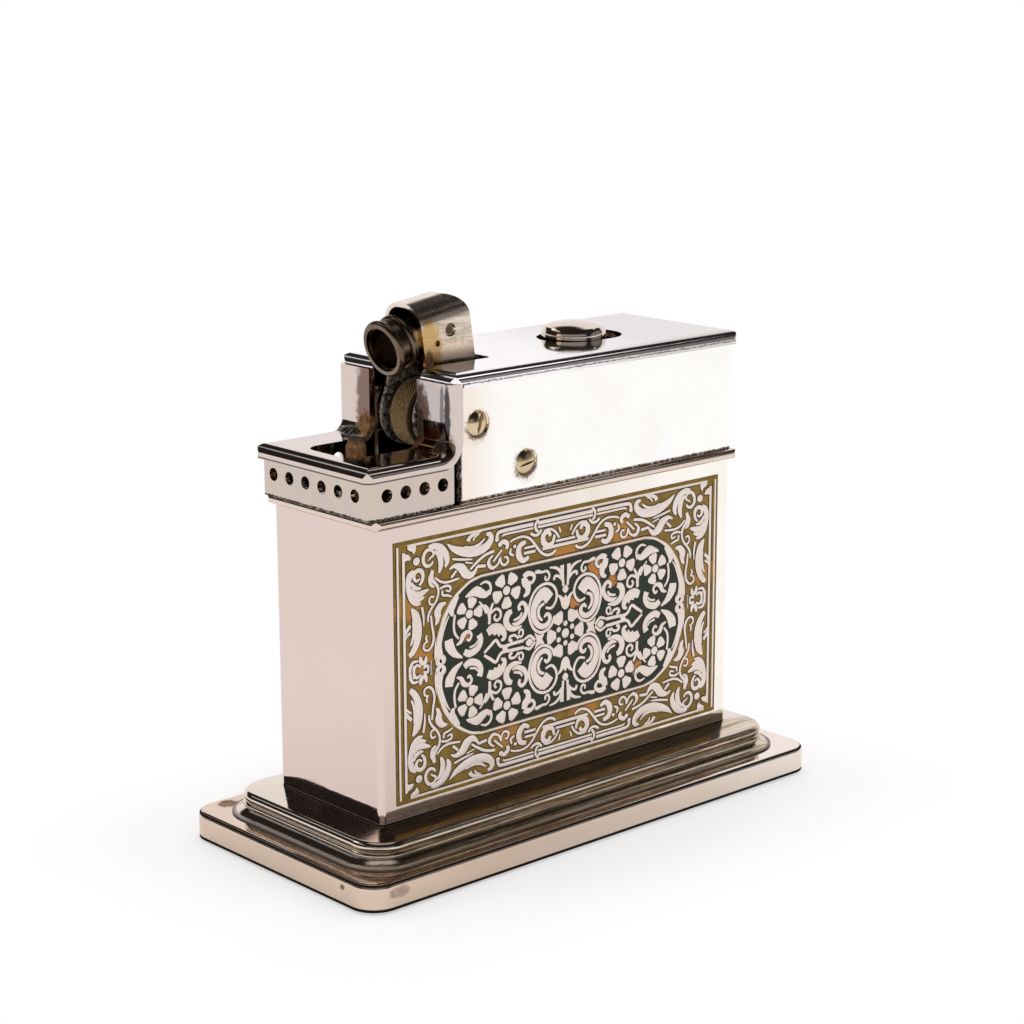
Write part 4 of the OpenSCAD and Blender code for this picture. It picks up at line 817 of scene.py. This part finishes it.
BORDER_STROKES = (
    # frame
    "0.42 | 31.64 0 31.64 18.4", "0.42 | 30.63 0 30.63 17.5", "0.42 | 29.9 18.39 0 18.39",
    # corner scroll, side scroll, side palmette, vine and leaves
    "0.25 0.4 0.5 0.5 0.5 0.5 0.4 0.35 0.3 0.2 | 25.32 15.43 25.65 14.99 26.42 14.89 27.04 15.54 26.97 "
    "16.53 26.31 17.19 25.43 16.97 25.21 16.31 25.76 15.98 26.16 15.65",
    "0.5 0.8 1 1 0.8 0.3 | 26.09 17.52 25.21 17.58 23.96 17.14 23.02 16.09 22.74 14.99 23.09 14.16",
    "0.3 0.75 0.9 0.8 0.35 | 25.06 16.79 24.34 16.31 23.96 15.54 23.9 14.56 24.23 13.57",
    "0.1 0.8 1.2 1.3 1.2 1.1 0.9 0.7 0.4 | 22.69 17.45 21.6 16.57 20.06 15.92 18.31 15.48 16.55 15.48 "
    "15.19 15.98 14.51 16.79 14.75 17.49 15.41 17.63",
    "0.15 0.3 0.4 0.25 | 19.51 16.53 18.09 16.2 16.66 16.4 15.79 17.01",
    "0.3 0.35 0.2 | 21.77 15.1 20.06 14.73 18.09 14.42", "0.25 0.3 0.2 | 19.36 14.18 17.98 13.83",
    "0.7 0.55 0.45 0.3 | 18.83 17.14 18.53 17.63 17.65 18.02 16.33 18.24",
    "0.3 0.3 0.2 | 17.87 17.08 17.54 17.58 16.73 17.89",
    "0.3 0.35 0.5 0.6 0.6 0.6 0.55 0.45 0.3 | 27.74 13.35 28.29 13.06 28.75 13.5 28.75 14.16 28.18 14.56 "
    "27.47 14.38 27.17 13.72 27.34 12.91 27.85 12.36",
    "0.5 0.9 0.9 0.8 0.7 0.4 | 28.83 14.6 29.54 14.07 29.8 13.02 29.71 11.81 29.32 10.56 28.61 9.73",
    "0.3 0.6 0.5 0.25 | 29.23 13.02 28.83 12.32 28.13 11.97 27.52 11.92",
    "0.4 0.8 0.85 0.7 0.25 | 29.38 12.03 28.72 11.31 27.96 11.09 27.04 11.27 26.2 11.53",
    "0.3 0.7 0.7 0.3 | 29.32 11.16 28.72 10.56 27.91 10.35 26.99 10.56",
    "0.3 0.6 0.3 | 29.05 10.21 28.35 9.78 27.61 9.73",
    "0.3 1.2 1.35 1.2 1 0.85 0.6 | 29.32 9.29 28.61 8.2 28.24 6.66 28.2 5.13 28.61 3.77 29.32 2.82 29.8 "
    "2.49",
    "0.2 0.4 0.42 0.3 | 29.1 7.43 28.96 6.22 29.12 4.95 29.54 3.99",
    "0.4 0.35 0.15 | 27.41 9.18 27.14 7.76 27.12 6.4", "0.5 0.5 0.3 | 29.54 6.88 30.11 6.31 30.63 5.56",
    "0.35 0.35 0.2 | 29.58 5.83 30.06 5.56 30.46 5.04",
    "0.45 0.45 0.45 0.3 | 29.67 -0.97 29.67 0.48 29.23 1.44 28.22 1.49",
    "0.4 0.4 0.4 0.3 | 28.99 -0.97 28.99 0.21 28.5 0.92 27.74 0.56",
    "0.3 0.7 0.5 | 27.82 2.06 27.74 1.4 27.25 0.83", "0.3 0.6 0.3 | 26.73 1.88 26.86 1.18 27.12 0.52",
    "0.35 0.35 0.3 | 27.25 0.3 26.46 0.48 26.42 -0.27", "0.35 | 25.85 0.92 25.85 -0.97",
    "0.5 0.7 0.5 0.4 0.35 0.35 0.35 0.35 0.3 | 25.41 14.12 25.63 13.24 25.32 12.54 24.58 11.71 24.4 10.61 "
    "24.89 9.51 25.76 8.59 26.29 7.65 26.33 6.84",
    "0.3 0.35 0.38 0.38 0.35 0.32 0.3 0.3 | 25.81 7.65 25.59 6 25.32 4.47 25.63 3.26 26.38 2.67 27.12 3 "
    "27.08 3.72 26.42 4.03",
    "0.2 0.5 0.5 0.25 | 25.65 13.79 25.98 13.02 25.76 12.1 25.11 11.66",
    "0.3 | 25.19 10.21 25.72 10.39 26.07 9.95 25.94 9.34 25.41 9.21",
    "0.25 0.35 0.3 | 26.6 4.95 26.73 4.47 26.51 3.99",
    "0.3 0.35 0.35 0.3 | 24.97 12.98 23.96 12.23 22.65 11.92 20.61 12.1",
    "0.3 0.35 0.35 0.3 0.25 | 24.12 11.22 23.13 11.44 22.21 11.16 22.3 10.56 23.02 10.78",
    "0.3 0.35 0.35 0.25 | 23.68 10.87 23.61 10.21 22.87 10.04 21.95 9.69",
    "0.25 0.9 1.15 0.9 0.2 | 23.02 8.96 23.96 8.77 24.58 7.93 24.49 6.97 24.97 6.09",
    "0.2 0.6 1.25 1.3 0.9 0.5 0.2 | 22.36 13.68 21.38 14.03 20.11 13.5 19.36 12.58 18.35 12.14 17.52 "
    "12.63 17.17 13.28",
    "0.3 0.4 0.4 0.4 | 18.48 12.98 17.17 13.85 15.68 14.6 13.96 14.91",
    "0.45 0.4 | 17.08 13.2 15.54 13.02", "0.4 0.35 | 21.99 12.45 21.03 13.28",
    "0.35 0.4 0.4 0.35 | 14.01 12.32 14.75 12.63 15.11 13.33 14.67 14.03",
    # strapwork along the top
    "0.5 | 13.4 16.6 13.3 17.2 12.6 17.55 9 17.6 6.4 17.6", "0.3 | 12.4 16.8 11.8 17 9 17 6.4 17",
    "0.5 | 5.5 17.6 0 17.6", "0.35 | 5.5 17 0 17", "0.4 | 5.4 18.1 6 17.4 5.8 16.6 5.4 16.3",
    "0.4 | 6.9 16.3 6.2 15.9 5.4 15.9 4.8 16.5",
    "0.3 0.38 0.4 | 10.9 15.7 10 16 8.5 16.1 7.3 15.7 6.4 14.9 5.6 13.9 4.6 12.9 3.5 12.5 2.6 12.6 2 13",
    "0.6 1 0.5 | 7.9 15.2 8.9 14.9 9.3 14 9 13 8.2 12.5 7.3 12.9", "0.35 | 8.1 14.3 6.2 14.3",
    "0.4 | 8.2 13.55 6 13.55", "0.35 | 1.9 14.3 0 14.3", "0.45 | 4.6 13.6 0 13.6",
    "0.4 0.9 0.5 | 2.2 15.3 2.6 14.2 3.6 13.95 4.4 14.6 4.4 15.6 3.5 16 3 15.3",
    "0.35 | 4.3 16.2 3 16.3 1.9 15.6 1.3 14.7", "0.3 0.5 0.3 | 1.3 16.3 1 15.5",
    "0.3 0.4 0.3 | 10.7 14.7 10.9 14 10.2 13.6", "0.5 0.7 0.5 | 12.8 15.7 12.2 16 11.4 15.5 11.6 14.8",
    "0.3 0.35 0.3 | 14.1 13.4 13.3 14.1 12.5 14.8",
    "0.3 0.4 0.3 | 14.2 14.3 14.9 13.7 14.7 12.8 14 12.5 13.2 12.9 12.9 13.6",
    "0.3 0.38 0.3 | 12.8 13.8 12.6 12.9 12 12.5 11.3 12.9 11.5 13.6 12 13.6",
)
BORDER_DOTS = (
    (28.3, 15.9, 0.6), (13.4, 16.5, 0.38), (12.8, 15.7, 0.4), (10.0, 14.9, 0.3), (24.3, 0.55, 0.75),
)
BORDER_BLOBS = (
    "29.93 18.02 29.38 18.33 28.5 18.24 28.35 17.8 28.5 17.28 28.83 17.01 29.05 17.41 29.49 17.58",
    "30.81 17.45 30.24 17.28 29.71 17.08 29.32 16.57 29.49 16.24 30.02 16.31 30.54 16.14 30.81 16.53",
)
CARTOUCHE_STROKES = (
    "0.45 | 0 11.68 16.5 11.68",
    "0.45 0.45 0.5 0.6 0.8 1.1 1.4 | 16.5 11.68 18.3 11.35 19.9 10.55 21.3 9.5 22.5 8.1 23.6 6.3 24.3 4.7 "
    "24.6 3.1 24.6 1.6 24.3 0.9",
    # side: leaves, rings and tendril round the five-petalled flower
    "0.3 0.8 0.9 0.4 | 20.72 9.51 21.55 8.46 22.04 7.58 21.73 6.84",
    "0.2 0.8 1.4 1.2 0.8 0.4 | 19.4 9.12 18.42 9.42 17.32 9.58 16.33 9.07 15.46 8.77 14.89 9.29",
    "0.2 0.35 0.4 0.4 0.4 | 16.66 10.43 15.68 10.7 14.84 10.26 14.62 9.4 14.91 8.64",
    "0.35 0.38 0.38 0.3 | 21.38 6.88 21.6 5.56 21.46 4.25 20.72 3.26",
    "1.3 1.5 1 0.15 | 22.61 3.48 22.39 2.45 21.51 1.22 20.02 0.3",
    "0.2 0.6 0.8 0.5 0.4 0.4 0.3 | 21.16 2.39 20.32 2.76 19.84 3.59 18.96 3.94 18.33 3.37 18.75 2.63 "
    "19.18 2.93",
    "1 0.8 0.9 1 0.8 | 16.88 3.11 16.57 2.06 17.25 1.07 18.7 0.65 19.71 1.14",
    "0.3 0.3 0.25 | 18.7 1.53 17.65 1.75 17.12 2.28",
    "0.15 0.3 0.4 0.4 0.3 | 22.43 6.99 23.09 6 23.75 4.47 24.1 2.93 23.79 1.44",
    "0.2 0.35 0.4 | 16.86 7.98 16.07 7.1 15.46 6",
    # middle: great scroll, small scrolls, palmette stems and strapwork
    "0.3 0.4 0.4 0.4 0.4 0.4 0.4 0.4 0.4 0.4 0.4 0.4 0.4 0.4 0.4 0.3 | 4 4.65 2.83 4.39 1.97 5.22 1.76 "
    "6.42 2.39 7.59 3.56 8.22 4.91 8.14 6.16 7.41 7.02 6 7.23 4.52 6.97 3.09 6.21 1.78 4.91 1.05 3.61 "
    "1.26 2.62 2.04 2.26 3.09",
    "1.7 1.75 1.3 1 0.9 0.8 0.75 0.7 0.6 0.5 0.3 | 3.19 5.79 4.34 6.89 5.75 5.95 6.37 4.6 6.16 3.22 5.28 "
    "2.15 4.13 1.89 3.25 2.41 3.14 3.19 3.74 3.66 4.24 3.19",
    "0.35 0.5 0.5 0.5 0.3 | 4.24 5.32 5.07 5.01 5.43 4.23 5.22 3.4 4.6 2.82",
    "0.3 0.4 0.45 0.5 0.6 0.8 0.8 | 7.2 9.28 6.94 8.87 6.42 9.13 6.19 9.73 6.74 10.27 7.62 10.38 8.25 "
    "10.01",
    "0.8 1.2 1 0.8 0.35 | 8.3 9.96 7.99 9.13 7.46 8.4 7.57 7.56 8.3 7.12",
    "0.6 0.35 0.35 0.35 0.35 0.3 0.3 | 5.62 10.38 4.65 10.12 3.74 10.12 3.22 9.47 3.48 8.81 4.05 8.94 "
    "3.98 9.44",
    "0.2 0.4 0.5 0.4 | 3.19 10.53 2.05 10.32 1.14 9.73 0.64 8.61",
    "0.4 0.4 0.4 0.35 | 2.31 8.5 2.13 9.05 1.37 8.92 0.64 8.24",
    "0.7 0.45 0.4 | 0.69 10.48 0.56 9.02 0.43 7.25",
    "0.6 1 1 0.9 0.7 0.2 | 10.59 5.38 11.37 5.04 11.74 4.07 11.21 3.09 10.07 2.62 8.69 2.77",
    "0.5 0.5 0.55 0.6 0.7 0.75 0.6 0.15 | 9.03 5.22 9.24 5.79 8.66 6.26 7.96 5.79 7.78 4.78 8.45 3.81 9.6 "
    "3.29 10.59 3.5",
    "0.3 0.4 0.3 | 10.28 3.92 9.13 4.18 8.61 4.8",
    "1 1.4 1.3 0.9 0.6 0.35 | 15.28 3.03 14.29 3.45 13.04 3.24 12.15 2.41 12.1 1.63 12.72 1.42",
    "0.3 0.35 0.3 | 14.13 2.51 13.4 2.72 13.04 2.1",
    "0.45 0.5 0.5 0.3 | 14.94 4.26 14.91 5.38 15.28 6.63 15.9 7.3",
    "0.4 0.45 0.3 | 14.91 5.38 14.55 6.6 14.13 7.3",
    "0.35 0.38 0.38 0.38 0.38 0.35 0.3 | 14.6 5.85 13.64 6.31 12.83 5.79 12.8 4.91 13.51 4.54 14 5.04 "
    "13.66 5.53",
    "0.4 0.5 0.4 0.35 0.3 | 10.51 0.87 11.01 1.13 10.85 1.63 9.99 1.63 9.34 1",
    "0.3 0.32 0.32 0.32 0.3 0.25 | 9.29 1.68 9.03 2.25 8.53 2.15 8.45 1.52 8.92 1.16 9.34 1.52",
    "0.35 0.45 0.45 0.45 0.45 0.45 0.45 | 15.95 0.17 14.81 0.95 13.71 1.63 12.99 0.74 12.2 0.4 10.64 0.48 "
    "8.3 0.53",
    "0.3 0.4 0.4 0.4 | 8.25 0.59 7.62 0.85 7 0.95 6.06 0.12",
)
CARTOUCHE_DOTS = (
    (5.8, 10.35, 0.3), (23.9, 0.75, 0.8), (0.0, 1.5, 0.42), (1.35, 0.78, 0.42), (0.0, 0.0, 0.73),
    (11.9, 0.0, 0.5),
)
CARTOUCHE_BLOBS = (
    "0.62 6.73 0 7.35 -0.62 6.73 0 6.11",
    "1.6 6.1 0.9 5.9 0.45 5.35 0 5.9 -0.45 5.35 -0.9 5.9 -1.6 6.1 -1.05 5.25 -0.8 4.3 -0.3 3.7 0.3 3.7 "
    "0.8 4.3 1.05 5.25",
    "7.9 0 7.2 0.6 6.5 0 7.2 -0.6",
    "6.2 1.25 5.4 0.75 4.25 0.75 4.65 0 4.25 -0.75 5.4 -0.75 6.2 -1.25 5.75 0",
)
# flowers: middle, radius of the heart, petals, their distance, length and breadth, angle of the first;
# the heart of the middle one is among the dots
FLOWERS = (
    (18.7, 6.5, 0.66, 5, 1.66, 1.62, 1.8, 106),
    (11.6, 8.65, 0.68, 5, 1.84, 1.76, 2.0, 54),
    (0.0, 0.0, 0, 6, 2.8, 1.85, 2.35, 60),
)

# heights of the raised forms above the enamel, and the reach of the burnt line, in millimetres
SUNK, FOOT_H, EDGE_H, CROWN_H = -0.04, 0.012, 0.05, 0.07
DOME_H = CROWN_H + 0.01
FOOT_REACH = 0.17
FOOT_TOP_REACH = FOOT_REACH * 0.9
CROWN_SHARE = 0.55
STROKE_GAIN = 1.1  # the strokes are this much wider than listed
OUTLINE, SILVER = 0, 1  # material slots of the raised forms
# outline of a petal in shares of its length and breadth
PETAL = ((-0.5, 0.2), (-0.5, -0.2), (0.14, -0.5), (0.42, -0.42), (0.5, 0), (0.42, 0.42), (0.14, 0.5))


class Relief:
    """gathers the raised forms of one side into one mesh of closed forms"""

    def __init__(self, side, face_mm):
        self.side = side
        self.face = face_mm
        self.spots = []
        self.faces = []
        self.kinds = []

    def point(self, u, v, height, flip):
        along = -u * flip[0] * self.side
        across = self.side * (self.face + height)
        self.spots.append((along * MM, across * MM, (PANEL_MID_Z + v * flip[1]) * MM))
        return len(self.spots) - 1

    def close(self, loop, kind, flip):
        """one face, turned the right way for its mirror image"""
        turned = flip[0] * flip[1] < 0
        self.faces.append(loop[::-1] if turned else loop)
        self.kinds.append(kind)

    def strip(self, rail, widths, flip):
        """stroke of changing width along a rail"""
        rings = []
        last = len(rail) - 1
        for i, (u, v) in enumerate(rail):
            a, b = rail[max(i - 1, 0)], rail[min(i + 1, last)]
            run = math.hypot(b[0] - a[0], b[1] - a[1]) or 1
            nu, nv = -(b[1] - a[1]) / run, (b[0] - a[0]) / run
            half = widths[i] * STROKE_GAIN / 2
            rise = ((half + FOOT_REACH, SUNK), (half + FOOT_TOP_REACH, FOOT_H), (half, EDGE_H))
            profile = [(-off, h) for off, h in rise] + [(0, CROWN_H)] + list(rise[::-1])
            rings.append([self.point(u + nu * off, v + nv * off, h, flip) for off, h in profile])
        for one, two in zip(rings, rings[1:]):
            for k in range(len(one)):
                j = (k + 1) % len(one)
                self.close([one[k], one[j], two[j], two[k]], SILVER if k in (2, 3) else OUTLINE, flip)
        self.close(rings[0][::-1], SILVER, flip)
        self.close(rings[-1], SILVER, flip)

    def skin(self, rings, flip):
        """closed form between rings that climb from the sunk foot to the crown"""
        for level, (one, two) in enumerate(zip(rings, rings[1:])):
            for k in range(len(one)):
                j = (k + 1) % len(one)
                self.close([one[k], one[j], two[j], two[k]], SILVER if level > 1 else OUTLINE, flip)
        self.close(rings[-1], SILVER, flip)
        self.close(rings[0][::-1], OUTLINE, flip)

    def dome(self, u, v, radius, flip, sides=14):
        """round boss"""
        turns = [2 * math.pi * k / sides for k in range(sides)]
        rings = []
        for r, h in ((radius + FOOT_REACH, SUNK), (radius + FOOT_TOP_REACH, FOOT_H), (radius, EDGE_H),
                     (radius * CROWN_SHARE, DOME_H)):
            rings.append([self.point(u + r * math.cos(a), v + r * math.sin(a), h, flip) for a in turns])
        self.skin(rings, flip)

    def blob(self, outline, flip, steps=3):
        """raised form with a closed outline that can be seen whole from its middle"""
        count = len(outline)
        edge = []
        for i in range(count):
            a, b, c, d = (outline[(i + k) % count] for k in (-1, 0, 1, 2))
            edge += [between(a, b, c, d, k / steps) for k in range(steps)]
        if sum(p[0] * q[1] - q[0] * p[1] for p, q in zip(edge, edge[1:] + edge[:1])) < 0:
            edge.reverse()
        mu, mv = (sum(p[i] for p in edge) / len(edge) for i in (0, 1))
        rings = []
        for reach, share, height in ((FOOT_REACH, 1, SUNK), (FOOT_TOP_REACH, 1, FOOT_H), (0, 1, EDGE_H),
                                     (0, CROWN_SHARE, CROWN_H)):
            ring = []
            for i, (u, v) in enumerate(edge):
                before, after = edge[i - 1], edge[(i + 1) % len(edge)]
                run = math.hypot(after[0] - before[0], after[1] - before[1]) or 1
                out_u, out_v = (after[1] - before[1]) / run, -(after[0] - before[0]) / run
                ring.append(self.point(mu + (u - mu) * share + out_u * reach,
                                       mv + (v - mv) * share + out_v * reach, height, flip))
            rings.append(ring)
        self.skin(rings, flip)

    def petal(self, u, v, angle, distance, length, breadth, flip):
        """petal with a narrow root, wide shoulders and a blunt tip"""
        out = Vector((math.cos(angle), math.sin(angle)))
        side = Vector((-out.y, out.x))
        outline = []
        for a, b in PETAL:
            spot = Vector((u, v)) + out * (distance + a * length) + side * (b * breadth)
            outline.append((spot.x, spot.y))
        self.blob(outline, flip, 1)

    def settle(self, name, finishes):
        mesh = bpy.data.meshes.new(name)
        mesh.from_pydata(self.spots, [], self.faces)
        for face, kind in zip(mesh.polygons, self.kinds):
            face.material_index = kind
        piece = bpy.data.objects.new(name, mesh)
        take_up(piece)
        for finish in finishes:
            mesh.materials.append(finish)
        face_outwards()
        smooth_below(25)
        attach(piece, "housing")


def between(a, b, c, d, t):
    """point at share t of the way from b to c on a smooth curve through a, b, c and d"""
    return tuple(0.5 * (2 * b[i] + (c[i] - a[i]) * t + (2 * a[i] - 5 * b[i] + 4 * c[i] - d[i]) * t * t
                        + (3 * b[i] - a[i] - 3 * c[i] + d[i]) * t ** 3) for i in (0, 1))


def read_numbers(text):
    return [float(word) for word in text.split()]


def read_points(text):
    numbers = read_numbers(text)
    return list(zip(numbers[::2], numbers[1::2]))


def smooth_rail(points, widths, steps=4):
    """rounds a stroke's points into a flowing line and spreads its widths along it"""
    if len(points) == 2:
        rail = points
    else:
        rail = []
        ends = points[:1] + points + points[-1:]
        for a, b, c, d in zip(ends, ends[1:], ends[2:], ends[3:]):
            rail += [between(a, b, c, d, k / steps) for k in range(steps)]
        rail.append(points[-1])
    spread = []
    for i in range(len(rail)):
        t = i / (len(rail) - 1) * (len(widths) - 1)
        k = min(int(t), len(widths) - 2)
        spread.append(widths[k] + (widths[k + 1] - widths[k]) * (t - k))
    return rail, spread


def wanted(points, flip):
    """no for the mirror image of a form that lies on the mirror's line"""
    off_u, off_v = (abs(sum(point[i] for point in points)) >= 0.01 for i in (0, 1))
    return (off_u or flip[0] > 0) and (off_v or flip[1] > 0)


def raise_ornament(side, name, strokes, dots, blobs, flowers, finishes):
    """one quarter's forms and their mirror images"""
    relief = Relief(side, TANK_HALF_W + PANEL_T)
    for flip in ((1, 1), (-1, 1), (1, -1), (-1, -1)):
        for text in strokes:
            widths, points = text.split("|")
            widths, points = read_numbers(widths), read_points(points)
            if wanted(points, flip):
                relief.strip(*smooth_rail(points, widths if len(widths) > 1 else widths * 2), flip)
        for u, v, radius in dots:
            if wanted([(u, v)], flip):
                relief.dome(u, v, radius, flip)
        for text in blobs:
            points = read_points(text)
            if wanted(points, flip):
                relief.blob(points, flip)
        for u, v, heart, count, distance, length, breadth, first in flowers:
            if not wanted([(u, v)], flip):
                continue
            if heart:
                relief.dome(u, v, heart, flip)
            for k in range(count):
                angle = math.radians(first + 360 * k / count)
                relief.petal(u, v, angle, distance, length, breadth, flip)
    relief.settle(name, finishes)


def bed_cartouche(side, name, finish):
    """dark enamel bed of the oblong cartouche: a plate with rounded corners on the olive ground"""
    thickness, sunk = 0.03, 0.02
    bpy.ops.object.select_all(action="DESELECT")
    bpy.ops.mesh.primitive_plane_add(size=2)
    plate = bpy.context.object
    plate.scale = (CARTOUCHE_HALF[0] * MM, CARTOUCHE_HALF[1] * MM, 1)
    bpy.ops.object.transform_apply(scale=True)
    bpy.ops.object.mode_set(mode="EDIT")
    bpy.ops.mesh.select_all(action="SELECT")
    bpy.ops.mesh.bevel(affect="VERTICES", offset=CARTOUCHE_R * MM, segments=20)
    bpy.ops.mesh.select_all(action="SELECT")
    bpy.ops.mesh.extrude_region_move(TRANSFORM_OT_translate={"value": (0, 0, thickness * MM)})
    face_outwards()
    plate.rotation_euler = (-side * math.pi / 2, 0, 0)
    plate.location = (0, side * (TANK_HALF_W + PANEL_T - sunk) * MM, PANEL_MID_Z * MM)
    pick(name, finish, "housing", None)


def lay_enamel(finishes):
    for side, word in ((-1, "near"), (1, "far")):
        bed_cartouche(side, "cartouche_bed_" + word, finishes["dark_green"])
        pair = (finishes["outline"], finishes["ornament"])
        raise_ornament(side, "border_ornament_" + word, BORDER_STROKES, BORDER_DOTS, BORDER_BLOBS, (), pair)
        raise_ornament(side, "cartouche_ornament_" + word, CARTOUCHE_STROKES, CARTOUCHE_DOTS, CARTOUCHE_BLOBS,
                       FLOWERS, pair)


# finishes on the solids

SOLID_FINISH = {
    "plinth": "base_plinth",
    "moulding": "base_moulding",
    "steel": "base_screws stop_studs pawl latch_bar button_screw",
    "tank": "tank_shell",
    "brass": "tank_floor wick_tube filler_neck filler_screw flint_tube flint_screw wall_spacers "
             "axle_sleeves slide_guide button_carrier",
    "rim": "tank_lid",
    "olive": "enamel_near enamel_far",
    "flint": "flint",
    "guard": "gallery",
    "cover": "gallery_cover",
    "top": "top_plate",
    "housing": "side_wall_near side_wall_far rear_wall",
    "bronze": "chassis snuffer_barrel barrel_socket",
    "screws": "axle_screw axle_nut frame_screws",
    "hood": "snuffer_hood",
    "pins": "cross_pins pawl_pin",
    "ratchet": "ratchet_disc",
    "button": "button_cap",
}


def finish_solids(finishes):
    for kind, names in SOLID_FINISH.items():
        for node in names.split():
            for slot in nodes[node].material_slots:
                slot.material = finishes[kind]


def bend_leaf_spring(finish):
    """the pawl's leaf, set back towards its tip by the room that the clicking pawl takes up"""
    root_height, set_back, rounding = 73.87 * MM, 0.1, 0.04 * MM
    leaf = copy_node("pawl_spring")
    for vertex in leaf.data.vertices:
        vertex.co.x += max(0.0, root_height - vertex.co.z) * set_back
    bpy.ops.object.modifier_add(type="BEVEL")
    bevel = leaf.modifiers[-1]
    bevel.width = rounding
    bevel.segments = 2
    bpy.ops.object.modifier_apply(modifier=bevel.name)
    smooth_below(40)
    pick("pawl_leaf_spring", finish, "arm", "pawl_spring")


set_camera()
set_studio()
lay_floor()
finishes = make_finishes()
finish_solids(finishes)
wind_flint_spring(finishes["steel"])
wind_button_spring(finishes["steel"])
wind_arm_spring(finishes["steel"])
bend_leaf_spring(finishes["steel"])
turn_filler_washer(finishes["seal"])
cut_barrel_pad(finishes["seal"])
cut_felt(finishes["felt"])
pack_wadding(finishes["wadding"])
plait_wick(finishes["cotton"])
cut_wheel(finishes["cutter"])
lay_enamel(finishes)

bpy.context.scene.view_settings.view_transform = "Standard"
